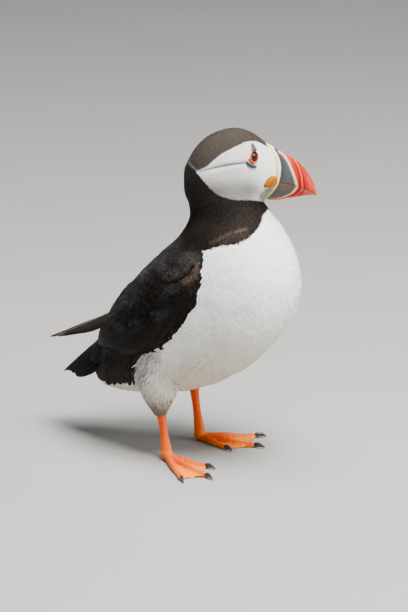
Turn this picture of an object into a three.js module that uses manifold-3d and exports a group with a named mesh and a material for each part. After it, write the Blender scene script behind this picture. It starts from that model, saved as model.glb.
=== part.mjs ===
// Atlantic puffin, adult in breeding dress, standing upright with its head turned a little to its left.
// Millimetres, +Z up, +X the way the body faces, +Y the bird's left. The soles stand on z = 0.
import * as THREE from "three";
import { mergeVertices } from "three/addons/utils/BufferGeometryUtils.js";
import Module from "manifold-3d";

const wasm = await Module();
wasm.setup();

// ---------------------------------------------------------------- driving sizes
const GAP = 0.3; // clearance between neighbouring solids
const HEAD_YAW = 35; // degrees the head turns to the bird's left of the body
const NECK_X = 36; // where the neck's axis stands, forward of the ankles
const EYE = { f: 17.2, z: 221.6, r: 4.0, sink: 2.5 }; // eyeball: forwards, up, radius, depth of its middle under the cheek
const FACE_DEPTH = 7; // the pale faces are let in to this distance from the middle of the head
const BAND = 3.3; // length of the band at the base of the bill
const WEB = 1.2; // thickness of the web
const TOE_R = 2.5; // half height of a toe at its root and at its tip
const TOE_TIP = 1.6;
const CLAW = 7.6; // length of a claw
// front of the dark collar (x, z), from the throat down to the shoulder
const COLLAR = [[70, 184], [66, 176], [61, 169], [52, 163], [42, 158.5]];
const SEG = 22; // points round the body's sections

// ---------------------------------------------------------------- small helpers
const V = (x, y, z) => new THREE.Vector3(x, y, z);
const rad = THREE.MathUtils.degToRad;
const mix = (a, b, t) => a + (b - a) * t;
const spow = (v, p) => Math.sign(v) * Math.pow(Math.abs(v), p);

// Catmull-Rom through rows of numbers, t from 0 to 1
function along(rows, t) {
  const n = rows.length - 1;
  const x = Math.min(Math.max(t, 0), 1) * n;
  const i = Math.min(Math.floor(x), n - 1);
  const f = x - i;
  const at = (k) => rows[Math.min(Math.max(k, 0), n)];
  return rows[0].map((_, c) => {
    const [a, b, d, e] = [at(i - 1)[c], at(i)[c], at(i + 1)[c], at(i + 2)[c]];
    return 0.5 * (2 * b + (d - a) * f + (2 * a - 5 * b + 4 * d - e) * f * f + (3 * b - a - 3 * d + e) * f * f * f);
  });
}

// closed solid through rings of equally many points; each end closes on its ring's middle
function loft(rings) {
  const n = rings[0].length;
  const pos = [];
  const idx = [];
  for (const ring of rings) for (const p of ring) pos.push(p.x, p.y, p.z);
  for (let i = 0; i + 1 < rings.length; i++)
    for (let j = 0; j < n; j++) {
      const a = i * n + j;
      const b = i * n + ((j + 1) % n);
      idx.push(a, b, b + n, a, b + n, a + n);
    }
  for (const [k, turn] of [[0, 1], [rings.length - 1, -1]]) {
    const mid = rings[k].reduce((s, p) => s.add(p), V(0, 0, 0)).divideScalar(n);
    const c = pos.length / 3;
    pos.push(mid.x, mid.y, mid.z);
    for (let j = 0; j < n; j++) {
      const a = k * n + j;
      const b = k * n + ((j + 1) % n);
      if (turn > 0) idx.push(c, b, a);
      else idx.push(c, a, b);
    }
  }
  const g = new THREE.BufferGeometry();
  g.setAttribute("position", new THREE.Float32BufferAttribute(pos, 3));
  g.setIndex(idx);
  return solid(g);
}

// a closed three.js geometry as a manifold solid, faces turned outwards
function solid(geometry) {
  const g = geometry.clone();
  for (const name of Object.keys(g.attributes)) if (name !== "position") g.deleteAttribute(name);
  const m = mergeVertices(g, 1e-4);
  const tri = new Uint32Array(m.index.array);
  const p = m.attributes.position.array;
  let vol = 0;
  for (let i = 0; i < tri.length; i += 3) {
    const [a, b, c] = [tri[i] * 3, tri[i + 1] * 3, tri[i + 2] * 3];
    vol += p[a] * (p[b + 1] * p[c + 2] - p[b + 2] * p[c + 1]) + p[a + 1] * (p[b + 2] * p[c] - p[b] * p[c + 2]) + p[a + 2] * (p[b] * p[c + 1] - p[b + 1] * p[c]);
  }
  if (vol < 0) for (let i = 0; i < tri.length; i += 3) [tri[i + 1], tri[i + 2]] = [tri[i + 2], tri[i + 1]];
  return new wasm.Manifold(new wasm.Mesh({ numProp: 3, vertProperties: new Float32Array(p), triVerts: tri }));
}

function geometryOf(man) {
  const m = man.getMesh();
  const v = new Float32Array(m.numVert * 3);
  for (let i = 0; i < m.numVert; i++) v.set(m.vertProperties.subarray(i * m.numProp, i * m.numProp + 3), i * 3);
  const g = new THREE.BufferGeometry();
  g.setAttribute("position", new THREE.BufferAttribute(v, 3));
  g.setIndex(new THREE.BufferAttribute(m.triVerts, 1));
  return g;
}

// the largest body of a cut, without the crumbs a boolean can leave
function main(man) {
  return man.decompose().sort((a, b) => b.volume() - a.volume())[0];
}

// ---------------------------------------------------------------- trunk and neck
// Each row is a section: its point on the back (x, z), its point on the front (x, z) and its half width.
const BODY = [
  [17, 212, 50, 213, 13.5],
  [6.6, 192, 57, 196, 20.3],
  [9.6, 175, 64, 181, 24.5],
  [3, 161, 75.5, 167, 32.5],
  [-8.5, 149.5, 85.5, 148, 39.0],
  [-21, 138, 88.5, 126, 42.5],
  [-33.5, 125.5, 81.5, 104, 43.5],
  [-43.5, 112, 67, 84.5, 43.0],
  [-51.5, 98, 46, 65.5, 41.0],
  [-57.5, 84, 20, 51, 37.0],
  [-62, 72, -10, 42.5, 31.0],
  [-67, 63, -36, 39, 23.5],
  [-72, 54, -56, 38, 14.0],
];
const BODY_ROWS = BODY.length - 1;
// a point of the body's surface: row number, angle from the back (0) down the side to the front (180), offset
function bodyPoint(row, deg, grow, side) {
  const [dx, dz, vx, vz, w] = along(BODY, row / BODY_ROWS);
  const back = V(dx, 0, dz);
  const front = V(vx, 0, vz);
  const out = back.clone().sub(front).normalize();
  const q = rad(deg);
  return back
    .lerp(front, 0.5)
    .addScaledVector(out, (V(dx - vx, 0, dz - vz).length() / 2 + grow) * spow(Math.cos(q), 0.96))
    .add(V(0, side * (w + grow) * spow(Math.sin(q), 0.92), 0));
}
function bodySection(t, grow, count = SEG) {
  const ring = [];
  for (let j = 0; j < count; j++) ring.push(bodyPoint(t * BODY_ROWS, (j / count) * 360, grow + 0.5, 1));
  return ring;
}
function bodySolid(grow) {
  const rings = [];
  const count = 18;
  for (let i = 0; i <= count; i++) rings.push(bodySection(i / count, grow));
  // rounded rear end
  const last = rings[rings.length - 1];
  const c = last.reduce((s, p) => s.add(p), V(0, 0, 0)).divideScalar(last.length);
  const dir = V(-0.86, 0, -0.5);
  for (const [k, s] of [[4, 0.72], [6, 0.3]]) rings.push(last.map((p) => p.clone().sub(c).multiplyScalar(s).add(c).addScaledVector(dir, k)));
  return loft(rings);
}

// ---------------------------------------------------------------- head
// The head has its own frame: f forwards, s to its right, z up.
const F = V(Math.cos(rad(HEAD_YAW)), Math.sin(rad(HEAD_YAW)), 0);
const S = V(Math.sin(rad(HEAD_YAW)), -Math.cos(rad(HEAD_YAW)), 0);
const headPoint = (f, s, z) => V(NECK_X, 0, z).addScaledVector(F, f).addScaledVector(S, s);
// how far forward of the ankle, top, bottom, half width, squareness
const HEAD = [
  [-31.5, 208, 195, 4.0],
  [-29.0, 212.5, 188, 10.0],
  [-23.5, 223.0, 182, 15.0],
  [-15.5, 231.6, 179, 18.0],
  [-5.5, 236.6, 179, 19.4],
  [5.0, 238.3, 180, 19.6],
  [14.5, 235.8, 182, 18.4],
  [22.0, 231.2, 184.5, 16.0],
  [28.0, 226.0, 187, 12.6],
  [34.0, 221.3, 187.6, 9.6],
  [40.0, 217.5, 188.4, 8.0],
];
// how far the head's side stands out at a place
function headSide(f, z) {
  const x = THREE.MathUtils.clamp((f - HEAD[0][0]) / (HEAD[10][0] - HEAD[0][0]), 0, 1);
  let [lo, hi] = [0, 1];
  for (let k = 0; k < 30; k++) along(HEAD, (lo + hi) / 2)[0] < f ? (lo = (lo + hi) / 2) : (hi = (lo + hi) / 2);
  const [, top, bottom, w] = along(HEAD, x === 0 ? 0 : lo);
  const mid = mix(bottom, top, 0.47);
  const c = THREE.MathUtils.clamp((z - mid) / (z > mid ? top - mid : mid - bottom), -1, 1);
  return w * (c > 0 ? 1 - 0.16 * c * c : 1) * Math.pow(Math.sqrt(1 - c * c), 0.9);
}
function headSolid() {
  const rings = [];
  for (let i = 0; i <= 13; i++) {
    const [f, top, bottom, w] = along(HEAD, i / 13);
    const ring = [];
    for (let j = 0; j < 18; j++) {
      const q = (j / 18) * 2 * Math.PI;
      const c = Math.cos(q);
      const mid = mix(bottom, top, 0.47);
      const reach = c > 0 ? top - mid : mid - bottom;
      // a crown a little narrower than the cheeks
      const narrow = c > 0 ? 1 - 0.16 * c * c : 1;
      ring.push(headPoint(f, w * narrow * spow(Math.sin(q), 0.9), mid + reach * c));
    }
    rings.push(ring);
  }
  return loft(rings);
}

// ---------------------------------------------------------------- bill
// forward, culmen, keel, half width
const BILL = [
  [25.0, 226.6, 187.6, 8.8],
  [31.0, 223.6, 186.4, 8.6],
  [36.0, 220.9, 186.8, 8.1],
  [41.0, 218.0, 187.8, 7.3],
  [46.0, 215.0, 188.8, 6.4],
  [51.0, 210.6, 189.5, 5.4],
  [55.0, 205.4, 189.9, 4.4],
  [58.2, 199.6, 190.0, 3.3],
  [60.0, 194.8, 189.4, 2.3],
  [60.9, 191.0, 188.7, 1.2],
];
const mouthZ = (f) => 200.6 - 0.12 * (f - 33) - 0.0105 * Math.max(0, f - 36) ** 2; // line between the mandibles
function billSolid(grow) {
  const rings = [];
  for (let i = 0; i <= 12; i++) {
    const [f, top, bottom, w] = along(BILL, i / 12);
    const ring = [];
    const n = 12;
    for (let j = 0; j < n; j++) {
      const q = (j / n) * 2 * Math.PI;
      const c = Math.cos(q);
      const mid = mix(bottom, top, 0.4);
      const reach = (c > 0 ? top - mid : mid - bottom) + grow;
      ring.push(headPoint(f, (w + grow) * spow(Math.sin(q), 0.8), mid + reach * spow(c, 1.0)));
    }
    rings.push(ring);
  }
  return loft(rings);
}
// the line on the face where the bill starts: it bows forwards between forehead and chin
const faceLine = (z) => 32.4 - (z > 211 ? 0.029 : 0.0165) * (z - 211) ** 2;
// everything ahead of that line plus a distance, as a wide block
function aheadOf(extra) {
  const shape = new THREE.Shape();
  const pts = [];
  for (let i = 0; i <= 7; i++) {
    const z = mix(182, 232, i / 7);
    pts.push(new THREE.Vector2(faceLine(z) + extra, z));
  }
  shape.moveTo(90, 182);
  for (const p of pts) shape.lineTo(p.x, p.y);
  shape.lineTo(90, 232);
  shape.closePath();
  return headExtrude(shape, 40);
}
function headExtrude(shape, depth) {
  const g = new THREE.ExtrudeGeometry(shape, { depth, bevelEnabled: false, steps: 1 });
  g.translate(0, 0, -depth / 2);
  // shape x is forwards, shape y is up, extrusion runs across the head
  const m = new THREE.Matrix4().makeBasis(F, V(0, 0, 1), S);
  m.setPosition(NECK_X, 0, 0);
  g.applyMatrix4(m);
  return solid(g);
}
// a thin wall along the mouth line, to part the mandibles
function mouthCut(half) {
  const shape = new THREE.Shape();
  const n = 6;
  const at = (i) => mix(22, 68, i / n);
  shape.moveTo(at(0), mouthZ(at(0)) + half);
  for (let i = 1; i <= n; i++) shape.lineTo(at(i), mouthZ(at(i)) + half);
  for (let i = n; i >= 0; i--) shape.lineTo(at(i), mouthZ(at(i)) - half);
  shape.closePath();
  return headExtrude(shape, 40);
}

// ---------------------------------------------------------------- face
// a small lens lying on the side of the head: middle (f, z), half sizes, turn in the plane of the face
function lens(side, f, z, a, b, thick, turn, sink) {
  const g = new THREE.SphereGeometry(1, 12, 4);
  g.rotateX(Math.PI / 2); // poles across the head
  g.scale(a, b, thick);
  g.rotateZ(rad(turn));
  // lie flat on the surface: its slope along f and along z
  const d = 1.5;
  const slopeF = (headSide(f + d, z) - headSide(f - d, z)) / (2 * d);
  const slopeZ = (headSide(f, z + d) - headSide(f, z - d)) / (2 * d);
  const n = V(-slopeF, -slopeZ, 1).normalize();
  g.applyQuaternion(new THREE.Quaternion().setFromUnitVectors(V(0, 0, 1), n));
  const at = V(f, z, headSide(f, z)).addScaledVector(n, -sink);
  g.translate(at.x, at.y, at.z);
  const m = new THREE.Matrix4().makeBasis(F, V(0, 0, 1), S.clone().multiplyScalar(side));
  m.setPosition(NECK_X, 0, 0);
  g.applyMatrix4(m);
  return solid(g);
}
const eyeSolid = (side, grow) => {
  const g = new THREE.SphereGeometry(EYE.r + grow, 12, 6);
  const p = headPoint(EYE.f, side * (headSide(EYE.f, EYE.z) - EYE.sink), EYE.z);
  g.translate(p.x, p.y, p.z);
  return solid(g);
};
const ringSolid = (side, grow) => lens(side, 17.0, 221.0, 3.4 + grow, 4.7 + grow, 1.3 + grow, 8, 0.4);
const upperPlate = (side, grow) => lens(side, 16.6, 228.0, 1.5 + grow, 3.4 + grow, 1.2 + grow, 12, 0.2);
const lowerPlate = (side, grow) => lens(side, 14.6, 215.3, 4.3 + grow, 1.35 + grow, 1.2 + grow, -19, 0.2);
const rosetteSolid = (side, grow) => lens(side, 28.2, 202.0, 5.6 + grow, 3.7 + grow, 2.5 + grow, 34, 0.6);

// outline of the pale side of the face (f, z), from the bill round over the eye and back under the cheek
const FACE = [
  [29.6, 222.6], [22.6, 228.2], [15.5, 231.4], [8.5, 231.6], [1, 228.8], [-6, 223.6], [-13.6, 217.8],
  [-21.6, 211.8], [-15.0, 204.4], [-7.5, 197.6], [1.5, 192.6], [11, 190.2], [19, 190.2], [25.2, 194.2], [33, 205], [35, 214],
];
function faceBlock(side, grow) {
  const curve = new THREE.CatmullRomCurve3(FACE.map(([f, z]) => V(f, z, 0)), true, "catmullrom", 0.5);
  const pts = curve.getPoints(19).slice(0, -1);
  const shape = new THREE.Shape();
  pts.forEach((q, k) => {
    const a = pts[(k + pts.length - 1) % pts.length];
    const b = pts[(k + 1) % pts.length];
    const t = b.clone().sub(a).normalize();
    // the outline runs anticlockwise seen from the front of the shape
    const o = V(t.y, -t.x, 0).multiplyScalar(grow);
    if (k === 0) shape.moveTo(q.x + o.x, q.y + o.y);
    else shape.lineTo(q.x + o.x, q.y + o.y);
  });
  shape.closePath();
  const g = new THREE.ExtrudeGeometry(shape, { depth: 30, bevelEnabled: false, steps: 1 });
  g.translate(0, 0, FACE_DEPTH - grow);
  const m = new THREE.Matrix4().makeBasis(F, V(0, 0, 1), S.clone().multiplyScalar(side));
  m.setPosition(NECK_X, 0, 0);
  g.applyMatrix4(m);
  return solid(g);
}

// ---------------------------------------------------------------- wings
// A folded wing lies on the body as a patch: row of the body, upper edge and lower edge (degrees), thickness
const WING = [
  [3.5, 73, 86, 1.6],
  [3.85, 57, 88, 4.2],
  [4.6, 42, 90.5, 6.2],
  [5.6, 32, 94, 6.6],
  [6.6, 25, 94, 6.2],
  [7.5, 18, 92, 5.6],
  [8.3, 14, 84, 5.0],
  [9.0, 11, 68, 4.2],
  [9.6, 11, 46, 3.2],
  [10.05, 14, 30, 1.8],
];
function wingSolid(side, grow) {
  const rings = [];
  const rows = 11;
  const cells = 5;
  for (let i = 0; i <= rows; i++) {
    const [row, q0, q1, thick] = along(WING, i / rows);
    const ring = [];
    const outer = [];
    const inner = [];
    for (let j = 0; j <= cells; j++) {
      const u = j / cells;
      const deg = mix(q0 - grow * 2, q1 + grow * 2, u);
      const lift = Math.pow(Math.max(0, 1 - (2 * u - 1) ** 2), 0.55);
      outer.push(bodyPoint(row, deg, GAP + 0.55 + thick * lift + grow, side));
      inner.push(bodyPoint(row, deg, -1.2, side));
    }
    ring.push(...outer, ...inner.reverse());
    rings.push(ring);
  }
  return loft(rings);
}
// the long primaries beyond the folded wings cross over the rump: middle, half width, half thickness
const BLADES = {
  right: {
    up: V(0.35, 0.5, 0.79),
    rows: [
      [-34, -24, 100.0, 4.0, 1.3],
      [-48, -23.5, 95.0, 6.8, 1.3],
      [-60, -22, 88.6, 6.4, 1.15],
      [-73, -19.8, 82.0, 5.0, 0.95],
      [-86, -17.8, 76.2, 3.2, 0.75],
      [-98.5, -16, 71.4, 0.8, 0.4],
    ],
  },
  left: {
    up: V(0.35, -0.5, 0.79),
    rows: [
      [-44, 23, 97.0, 4.0, 1.3],
      [-60, 18, 89.6, 7.0, 1.3],
      [-73, 12, 82.6, 6.6, 1.15],
      [-86, 5.5, 76.8, 5.0, 0.95],
      [-99, -0.3, 71.2, 3.0, 0.75],
      [-112, -5.5, 66.1, 0.8, 0.4],
    ],
  },
};
function bladeSolid({ up, rows }) {
  const rings = [];
  const axis = V(rows[5][0] - rows[0][0], rows[5][1] - rows[0][1], rows[5][2] - rows[0][2]).normalize();
  const wide = up.clone().addScaledVector(axis, -up.dot(axis)).normalize();
  const flat = axis.clone().cross(wide);
  for (let i = 0; i <= 8; i++) {
    const [x, y, z, h, t] = along(rows, i / 8);
    const ring = [];
    for (let j = 0; j < 8; j++) {
      const q = (j / 8) * 2 * Math.PI;
      ring.push(V(x, y, z).addScaledVector(wide, h * Math.cos(q)).addScaledVector(flat, t * Math.sin(q)));
    }
    rings.push(ring);
  }
  return loft(rings);
}

// ---------------------------------------------------------------- tail
// A short arched fan: section middle (x, z), half width, half thickness, how far its sides droop
const TAIL = [
  [-46, 84.0, 17, 5.0, 8],
  [-59, 76.5, 22, 4.6, 14],
  [-72, 66.0, 23.5, 3.6, 17],
  [-84, 56.6, 20, 2.6, 13],
  [-95, 47.6, 13, 1.7, 6],
  [-104.4, 39.9, 4, 0.7, 1],
];
function tailSolid(grow) {
  const rings = [];
  const up = V(-0.62, 0, 0.78);
  for (let i = 0; i <= 8; i++) {
    const [x, z, w, t, droop] = along(TAIL, i / 8);
    const ring = [];
    for (let j = 0; j < 18; j++) {
      const q = (j / 18) * 2 * Math.PI;
      const s = Math.sin(q);
      ring.push(V(x, (w + grow) * s, z).addScaledVector(up, (t + grow) * Math.cos(q) - droop * s * s));
    }
    rings.push(ring);
  }
  return loft(rings);
}

// ---------------------------------------------------------------- legs and feet
// middle of the feathered leg from hip to ankle: (x, y, z), half length, half width
const LEGS = {
  right: {
    thigh: [[-2, -23, 72, 20, 15], [-4.6, -25, 58, 17, 13.5], [-5.2, -26, 47, 13.2, 11], [-4.6, -26.3, 40, 9.6, 8], [-3.8, -26.4, 35, 6.4, 5.6], [-3.2, -26.4, 31.2, 4.6, 4.3]],
    ankle: [-3.2, -26.4, 35], root: [2.4, -27.6, 5.6], yaw: -22, toes: [21, 0, -22], len: [34, 49, 47],
  },
  left: {
    thigh: [[-6, 23, 72, 19, 15], [-9, 24, 59, 15, 13], [-10.5, 25, 50, 11.5, 10.5], [-10.6, 25.5, 43.5, 8.4, 7.6], [-10.2, 25.8, 39.2, 6.0, 5.4], [-9.9, 25.9, 35.9, 4.6, 4.3]],
    ankle: [-9.9, 25.9, 39.5], root: [-3.4, 24, 5.6], yaw: 8, toes: [-27, 0, 31], len: [30, 43.5, 40.5],
  },
};
function thighSolid(leg) {
  const rings = [];
  for (let i = 0; i <= 7; i++) {
    const [x, y, z, a, b] = along(leg.thigh, i / 7);
    const ring = [];
    for (let j = 0; j < 14; j++) {
      const q = (j / 14) * 2 * Math.PI;
      ring.push(V(x + a * Math.cos(q), y + b * Math.sin(q), z));
    }
    rings.push(ring);
  }
  return loft(rings);
}
function shankSolid(leg) {
  const a = V(...leg.ankle);
  const b = V(...leg.root);
  const rings = [];
  const axis = b.clone().sub(a).normalize();
  const wide = V(0, 1, 0).addScaledVector(axis, -axis.y).normalize();
  const deep = axis.clone().cross(wide);
  const n = 5;
  for (let i = 0; i <= n; i++) {
    const t = i / n;
    const r = 4.2 - 1.1 * Math.sin(Math.PI * Math.min(1, t * 1.1)) - (i === n ? 0.4 : 0);
    const c = a.clone().lerp(b, t);
    const ring = [];
    for (let j = 0; j < 8; j++) {
      const q = (j / 8) * 2 * Math.PI;
      ring.push(c.clone().addScaledVector(wide, r * 0.68 * Math.cos(q)).addScaledVector(deep, r * Math.sin(q)));
    }
    rings.push(ring);
  }
  return loft(rings);
}
// toes, web and the swollen joint above them; the toes' ends come back for the claws
function footSolid(leg) {
  const root = leg.root;
  const dir = (deg) => V(Math.cos(rad(leg.yaw + deg)), Math.sin(rad(leg.yaw + deg)), 0);
  const at = V(root[0], root[1], 0);
  const solids = [];
  const tips = [];
  leg.toes.forEach((deg, k) => {
    const d = dir(deg);
    const len = leg.len[k];
    const side = V(-d.y, d.x, 0);
    const rings = [];
    const n = 4;
    for (let i = 0; i <= n; i++) {
      const t = i / n;
      const knuckle = 1 + 0.12 * Math.cos(t * Math.PI * 4);
      const r = mix(TOE_R, TOE_TIP, t) * knuckle * (i === 0 ? 0.6 : i === n ? 0.7 : 1);
      const raised = 1.7 * Math.max(0, 1 - t * 1.5); // the root of the toe rises towards the joint
      const c = at.clone().addScaledVector(d, mix(-2.5, len, t));
      const ring = [];
      for (let j = 0; j < 7; j++) {
        const q = (j / 7) * 2 * Math.PI - Math.PI / 2;
        ring.push(V(c.x, c.y, Math.max(0, r * 0.92 + raised * 0.5 + (r + raised * 0.5) * Math.sin(q))).addScaledVector(side, Math.cos(q) * r * 1.05));
      }
      rings.push(ring);
    }
    solids.push(loft(rings));
    tips.push({ at: at.clone().addScaledVector(d, len), dir: d });
  });
  // web between the toes, its free edge bowed in a little
  const shape = new THREE.Shape();
  const heel = at.clone().addScaledVector(dir(0), -1.5);
  const edge = tips.map((p) => p.at.clone().addScaledVector(p.dir, -0.8));
  const turnsLeft = leg.toes[0] < leg.toes[2];
  shape.moveTo(heel.x, heel.y);
  shape.lineTo(edge[0].x, edge[0].y);
  for (const [a, b] of [[0, 1], [1, 2]]) {
    const m = edge[a].clone().lerp(edge[b], 0.5);
    const c = m.clone().sub(at).multiplyScalar(0.9).add(at);
    shape.quadraticCurveTo(c.x, c.y, edge[b].x, edge[b].y);
  }
  shape.closePath();
  solids.push(solid(new THREE.ExtrudeGeometry(shape, { depth: WEB, bevelEnabled: false, steps: 1, curveSegments: 3 })));
  const knob = new THREE.SphereGeometry(1, 8, 4);
  knob.scale(4.7, 4.2, 4.4);
  knob.translate(root[0] + 0.4, root[1], 4.4);
  solids.push(solid(knob));
  return { foot: main(solids.reduce((a, b) => a.add(b))), tips };
}
function clawSolid(tip) {
  const side = V(-tip.dir.y, tip.dir.x, 0);
  const rings = [];
  const n = 4;
  for (let i = 0; i <= n; i++) {
    const t = i / n;
    const r = mix(1.35, 0.3, Math.pow(t, 0.9));
    const high = 1.6 + 1.1 * Math.sin(t * Math.PI * 0.85) - 1.45 * t * t;
    const c = tip.at.clone().addScaledVector(tip.dir, mix(GAP, CLAW, t));
    const ring = [];
    for (let j = 0; j < 6; j++) {
      const q = (j / 6) * 2 * Math.PI;
      ring.push(V(c.x, c.y, Math.max(0.02, high + r * 1.15 * Math.sin(q))).addScaledVector(side, r * 0.85 * Math.cos(q)));
    }
    rings.push(ring);
  }
  return loft(rings);
}

// ---------------------------------------------------------------- build
const nodes = {};
const SIDES = [["right", 1, -1], ["left", -1, 1]]; // name, side in the head's frame, sign of y

// a block across the whole bird with a given outline in the plane of symmetry
function sideBlock(points) {
  const shape = new THREE.Shape();
  points.forEach(([x, z], k) => (k === 0 ? shape.moveTo(x, z) : shape.lineTo(x, z)));
  shape.closePath();
  const g = new THREE.ExtrudeGeometry(shape, { depth: 300, bevelEnabled: false, steps: 1 });
  g.translate(0, 0, -150);
  g.rotateX(Math.PI / 2);
  return solid(g);
}
// the upper side of a plane
function above(at, n, shift) {
  const g = new THREE.BoxGeometry(500, 500, 300);
  g.translate(0, 0, 150 + shift);
  g.applyQuaternion(new THREE.Quaternion().setFromUnitVectors(V(0, 0, 1), n.clone().normalize()));
  g.translate(at.x, at.y, at.z);
  return solid(g);
}

const bodyWhole = bodySolid(0);
const bodyWide = bodySolid(GAP);

// bill: a raised band at its base, then the two mandibles
const rosettes = rosetteSolid(1, GAP).add(rosetteSolid(-1, GAP));
nodes.bill_band = main(billSolid(0.7).intersect(aheadOf(GAP)).subtract(aheadOf(BAND)).subtract(rosettes));
const horn = billSolid(0).intersect(aheadOf(BAND + GAP)).subtract(mouthCut(GAP / 2)).subtract(rosettes);
const mandibles = horn.decompose().filter((m) => m.volume() > 50).sort((a, b) => b.boundingBox().max[2] - a.boundingBox().max[2]);
nodes.bill_upper = mandibles[0];
nodes.bill_lower = mandibles[1];

// head with its sockets, then the pale faces let into it
let flesh = headSolid().subtract(aheadOf(0)).add(bodyWhole);
for (const [name, side] of SIDES) {
  nodes["eye_" + name] = eyeSolid(side, 0);
  nodes["orbital_ring_" + name] = main(ringSolid(side, 0).subtract(eyeSolid(side, GAP)));
  nodes["upper_plate_" + name] = main(upperPlate(side, 0).subtract(ringSolid(side, GAP)).subtract(eyeSolid(side, GAP)));
  nodes["lower_plate_" + name] = main(lowerPlate(side, 0).subtract(ringSolid(side, GAP)).subtract(eyeSolid(side, GAP)));
  nodes["rosette_" + name] = main(rosetteSolid(side, 0).intersect(above(headPoint(0, 0, 0), S.clone().multiplyScalar(side), 7)));
  for (const part of [eyeSolid, ringSolid, upperPlate, lowerPlate, rosetteSolid]) flesh = flesh.subtract(part(side, GAP));
  nodes["face_" + name] = main(flesh.intersect(faceBlock(side, 0)));
  flesh = flesh.subtract(faceBlock(side, GAP));
}

// part head, neck, mantle and white front
const neckCut = [headPoint(0, 0, 187), V(-0.3, 0.02, 1)];
nodes.head = main(flesh.intersect(above(...neckCut, GAP)));
const below = flesh.subtract(above(...neckCut, 0));
const mids = [];
for (let row = 3.4; row <= 12; row += 0.95) {
  const [dx, dz, vx, vz] = along(BODY, row / BODY_ROWS);
  mids.push([mix(dx, vx, 0.5), mix(dz, vz, 0.5)]);
}
const border = (d) => [[90, 186 - d], ...COLLAR.map(([x, z]) => [x - d * 0.4, z + d]), ...mids.map(([x, z]) => [x - d, z + d]), [-90, 44 + d], [-90, -20], [140, -20], [140, 186]];
nodes.trunk = main(below.intersect(sideBlock(border(0))));
const dark = below.subtract(sideBlock(border(GAP * 0.8)));
const mantleCut = [V(8, 0, 164), V(-0.55, 0, 1)];
nodes.neck = main(dark.intersect(above(...mantleCut, GAP)));
nodes.mantle = main(dark.subtract(above(...mantleCut, 0)));

// wings, the primaries that reach past them, and the tail
for (const [name, , y] of SIDES) nodes["wing_" + name] = main(wingSolid(y, 0).subtract(bodyWide));
nodes.tail = main(tailSolid(0).subtract(bodyWide).subtract(wingSolid(-1, GAP)).subtract(wingSolid(1, GAP)));
for (const [name, , y] of SIDES)
  nodes["primaries_" + name] = main(bladeSolid(BLADES[name]).subtract(bodyWide).subtract(wingSolid(-1, GAP)).subtract(wingSolid(1, GAP)).subtract(tailSolid(GAP)));

// legs
for (const [name] of SIDES) {
  const leg = LEGS[name];
  const thigh = thighSolid(leg);
  const shank = shankSolid(leg);
  const { foot, tips } = footSolid(leg);
  const thighCut = main(thigh.subtract(bodyWide));
  nodes["thigh_" + name] = main(thighCut.subtract(above(V(...leg.thigh[5]), V(0, 0, -1), -2.2)));
  nodes["shank_" + name] = main(shank.intersect(above(V(...leg.thigh[5]), V(0, 0, -1), -2.2 + GAP)).subtract(foot));
  nodes["foot_" + name] = foot;
  tips.forEach((tip, k) => (nodes["claw_" + name + "_" + ["inner", "middle", "outer"][k]] = clawSolid(tip)));
}

// ---------------------------------------------------------------- scene graph
const LOOK = {
  bill_band: ["#e6d3a4", 0.5], bill_upper: ["#d9481f", 0.35], bill_lower: ["#d9481f", 0.35], orbital: ["#c8371a", 0.5], upper: ["#6d7681", 0.5],
  lower: ["#6d7681", 0.5], rosette: ["#e39a16", 0.5], head: ["#453c36", 0.9], face: ["#d3d4d3", 0.9], neck: ["#1d1714", 0.9], mantle: ["#1a1614", 0.9],
  trunk: ["#f0efea", 0.9], wing: ["#15110f", 0.8], primaries: ["#171311", 0.6], tail: ["#100d0c", 0.8], thigh: ["#dcd8cf", 0.9],
  shank: ["#e8631a", 0.5], foot: ["#f07a2c", 0.5], claw: ["#23201f", 0.35], eye: ["#16100d", 0.08],
};
const look = (name) => LOOK[name] || LOOK[name.split("_")[0]];
const bird = new THREE.Group();
for (const [name, man] of Object.entries(nodes)) {
  const [color, roughness] = look(name);
  const mesh = new THREE.Mesh(geometryOf(man), new THREE.MeshStandardMaterial({ color, roughness, metalness: 0 }));
  mesh.name = name;
  bird.add(mesh);
}
// the origin stands on the floor under the middle of the bird
const box = new THREE.Box3().setFromObject(bird);
bird.position.set(-(box.min.x + box.max.x) / 2, -(box.min.y + box.max.y) / 2, -box.min.z);
const root = new THREE.Group();
root.add(bird);
export default root;
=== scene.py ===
import math

import bpy
import numpy as np
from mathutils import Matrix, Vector, noise
from mathutils.bvhtree import BVHTree
from mathutils.kdtree import KDTree


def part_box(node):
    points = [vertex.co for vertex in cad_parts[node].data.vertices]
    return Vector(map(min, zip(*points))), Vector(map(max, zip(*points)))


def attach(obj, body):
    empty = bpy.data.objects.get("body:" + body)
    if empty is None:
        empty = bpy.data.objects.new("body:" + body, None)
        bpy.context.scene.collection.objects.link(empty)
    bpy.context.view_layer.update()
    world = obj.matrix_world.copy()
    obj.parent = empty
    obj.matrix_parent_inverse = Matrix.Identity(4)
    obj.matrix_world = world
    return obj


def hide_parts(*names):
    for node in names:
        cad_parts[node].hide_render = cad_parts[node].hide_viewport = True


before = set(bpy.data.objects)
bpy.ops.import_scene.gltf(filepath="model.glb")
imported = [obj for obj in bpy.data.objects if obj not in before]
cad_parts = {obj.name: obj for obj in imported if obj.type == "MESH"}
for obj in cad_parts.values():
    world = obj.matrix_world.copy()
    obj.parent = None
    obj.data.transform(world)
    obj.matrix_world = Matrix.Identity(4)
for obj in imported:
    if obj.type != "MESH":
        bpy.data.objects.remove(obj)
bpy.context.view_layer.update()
rng = np.random.default_rng(20)

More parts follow.
